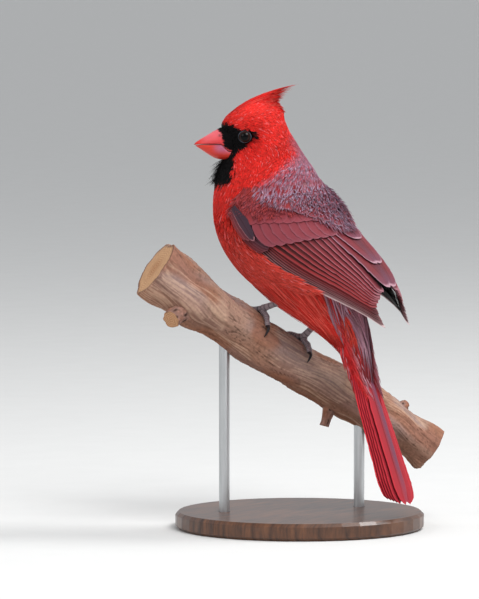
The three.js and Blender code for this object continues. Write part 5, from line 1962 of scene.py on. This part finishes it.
def claw_path(leg, toe, start):
    """From the toe's end on by the claw's angle, first up and then down to the bark."""
    last = JOINT_ANGLE + toe["sweep"]
    turn = math.copysign(1, toe["sweep"]) * toe["claw"]
    places = [perch_point(leg["s"] + toe["drift"] * along, last + turn * share, rise)
              for along, share, rise in ((1.08, 0.35, 2.3), (1.15, 0.75, 1.7), (1.2, 1, 0.6))]
    return [start, *places], [0.9 * toe["size"], 0.75 * toe["size"], 0.48, 0.1]


SCUTES = grained("scutes", 1500.0, 0.7, 1.35, 0.4, roughness=0.5, specular=0.3)
for leg in LEGS:
    joint, heel_way = leg_frame(leg)
    shank = [joint + heel_way * d for d in SHANK_STEPS]
    points, faces = tube(shank, SHANK_RADII, SHANK_AROUND, plate_steps(SHANK_PLATES), steps_each=22)
    tint = plated(points, SHANK_AROUND, SHANK_PLATES, SHANK_GREY)
    shin = make_mesh(f"{leg['name']}_shank", SCUTES, points, faces, tint)
    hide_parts(f"leg_{leg['name']}")
    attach(shin, "root")
    heap = Heap()
    for toe in TOES:
        path, radii = toe_path(leg, toe)
        points, faces = tube(path, radii, TOE_AROUND, plate_steps(TOE_PLATES), steps_each=18)
        heap.add(points, faces, plated(points, TOE_AROUND, TOE_PLATES, SHANK_GREY * 0.9))
        points, faces = tube(*claw_path(leg, toe, path[-1]), 12)
        heap.add(points, faces, np.broadcast_to(CLAW, points.shape))
    foot = heap.make(f"{leg['name']}_toes", SCUTES, "UVMap")
    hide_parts(f"foot_{leg['name']}")
    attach(foot, "root")
    print(leg["name"], "foot", len(foot.data.polygons), "triangles")

# %% [markdown]
# ## Feathers of the thigh
#
# Where a leg leaves the belly, short soft feathers lie down along the shank. Without them the leg
# would look pushed into the body. They are the same fans as the tail's coverts, in a ring round the
# top of each shank.

# %% Trousers
THIGH_FEATHERS = 90


def thigh_fans(leg, rng, count=THIGH_FEATHERS):
    """Curves from a ring of 3.4 mm inside the belly to one of 1.6 mm further down the shank."""
    joint, way = leg_frame(leg)
    across = unit(np.cross(way, UP))
    over = np.cross(across, way)
    ring = rng.uniform(0, 2 * np.pi, count)
    spoke = across * np.cos(ring)[:, None] + over * np.sin(ring)[:, None]
    start = TARSUS_LENGTH + rng.uniform(-2, 4, count)
    a = joint + way * start[:, None] + spoke * 3.4
    b = joint + way * (start - 4)[:, None] + spoke * 2.9
    c = joint + way * (start - rng.uniform(6, 9, count))[:, None] + spoke * 1.6
    colour = mix(BRICK, paint(150, 40, 36), rng.random(count))
    fringe = mix(colour, PALE_RED, np.full(count, 0.4))
    uv = body_uv(np.full(count, 16.0), np.full(count, 270.0))
    return fans(a, b, c, np.full(count, 2.4), spoke, colour, fringe, rng, uv)


rng = np.random.default_rng(47)
thigh_parts = join_parts([thigh_fans(leg, rng) for leg in LEGS])
thigh_feathers = make_mesh("thigh_feathers", PLUMAGE, *thigh_parts, "OFBake")
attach(thigh_feathers, "root")
print("thigh feathers", len(thigh_feathers.data.polygons), "triangles")

# %% [markdown]
# ## The stand
#
# The stand is plain: a turned dark wooden disc and two steel rods. Their CAD solids have the true
# shape, so they stay and only get a finish. The wood's grain is noise drawn out along one axis, and
# the steel's brushing is the same at a finer size.

# %% Stand
def wood_material():
    """Dark to light brown along the grain, under a thin coat of lacquer."""
    material, tree, shader = new_material("turned_wood", roughness=0.38, coat=0.2)
    grain = noise(tree, object_coordinates(tree, (60, 420, 60)), 1.0, 4.0, 0.65)
    ramped(tree, shader, grain, paint(48, 28, 18), paint(104, 66, 42), 0.32, 0.7)
    bumped(tree, shader, grain, 0.12, 0.0002)
    return material


def steel_material():
    """Two near greys along the brushing."""
    material, tree, shader = new_material("satin_steel", roughness=0.32, metallic=1.0)
    brushed = noise(tree, object_coordinates(tree, (900, 900, 60)), 1.0, 2.0)
    ramped(tree, shader, brushed, (0.42, 0.43, 0.44), (0.62, 0.63, 0.64))
    bumped(tree, shader, brushed, 0.08, 0.0001)
    return material


WOOD, STEEL = wood_material(), steel_material()
for node_name, material in (("stand_base", WOOD), ("stand_rod_high", STEEL), ("stand_rod_low", STEEL)):
    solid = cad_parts[node_name]
    solid.data.materials.clear()
    solid.data.materials.append(material)
    print(node_name, "has", material.name)

# %% [markdown]
# ## Studio
#
# A plain pale floor runs to the horizon under a pale sky. Daylight alone would flatten the plumage,
# so a broad soft lamp stands above the viewer's right shoulder, a weaker one on the left fills the
# shadows, and one behind draws the outline.

# %% Floor and lights
FLOOR_SIZE = 60_000.0
FLOOR_DROP = 0.02
SKY_COLOUR = (0.95, 0.97, 1.0, 1)
SKY_STRENGTH = 0.62
corners = np.array([[-1, -1, 0], [1, -1, 0], [1, 1, 0], [-1, 1, 0]]) * FLOOR_SIZE
corners = corners - np.array([0, 0, FLOOR_DROP])
floor_mesh = bpy.data.meshes.new("floor")
floor_mesh.from_pydata((corners * MM).tolist(), [], [(0, 1, 2, 3)])
floor = bpy.data.objects.new("floor", floor_mesh)
bpy.context.collection.objects.link(floor)
floor_paint, floor_tree, floor_shader = new_material("floor", roughness=0.8, specular=0.2)
floor_grain = noise(floor_tree, object_coordinates(floor_tree), 40.0)
ramped(floor_tree, floor_shader, floor_grain, (0.66, 0.66, 0.65), (0.70, 0.70, 0.69))
floor.data.materials.append(floor_paint)

world = bpy.data.worlds.new("studio")
bpy.context.scene.world = world
world.use_nodes = True
fill(world.node_tree.nodes["Background"], {"Color": SKY_COLOUR, "Strength": SKY_STRENGTH})

# Azimuth, elevation, distance, size and power of each lamp
LAMPS = {
    "key": (150, 48, 1.6, 0.9, 18.5),
    "fill": (70, 25, 1.8, 1.0, 6),
    "rim": (230, 50, 1.6, 0.6, 13),
}
for name, (azimuth, elevation, distance, size, power) in LAMPS.items():
    light = bpy.data.lights.new(name, "AREA")
    light.shape = "DISK"
    light.size = size
    light.energy = power
    lamp = bpy.data.objects.new(name, light)
    bpy.context.collection.objects.link(lamp)
    aim(lamp, azimuth, elevation, distance)
bpy.context.scene.view_settings.view_transform = "Standard"
print("lamps", list(LAMPS))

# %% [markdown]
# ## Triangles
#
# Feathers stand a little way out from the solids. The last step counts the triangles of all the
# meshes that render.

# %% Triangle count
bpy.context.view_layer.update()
shown = [o for o in bpy.data.objects if o.type == "MESH" and not o.hide_render]
print("triangles", sum(len(p.vertices) - 2 for o in shown for p in o.data.polygons))
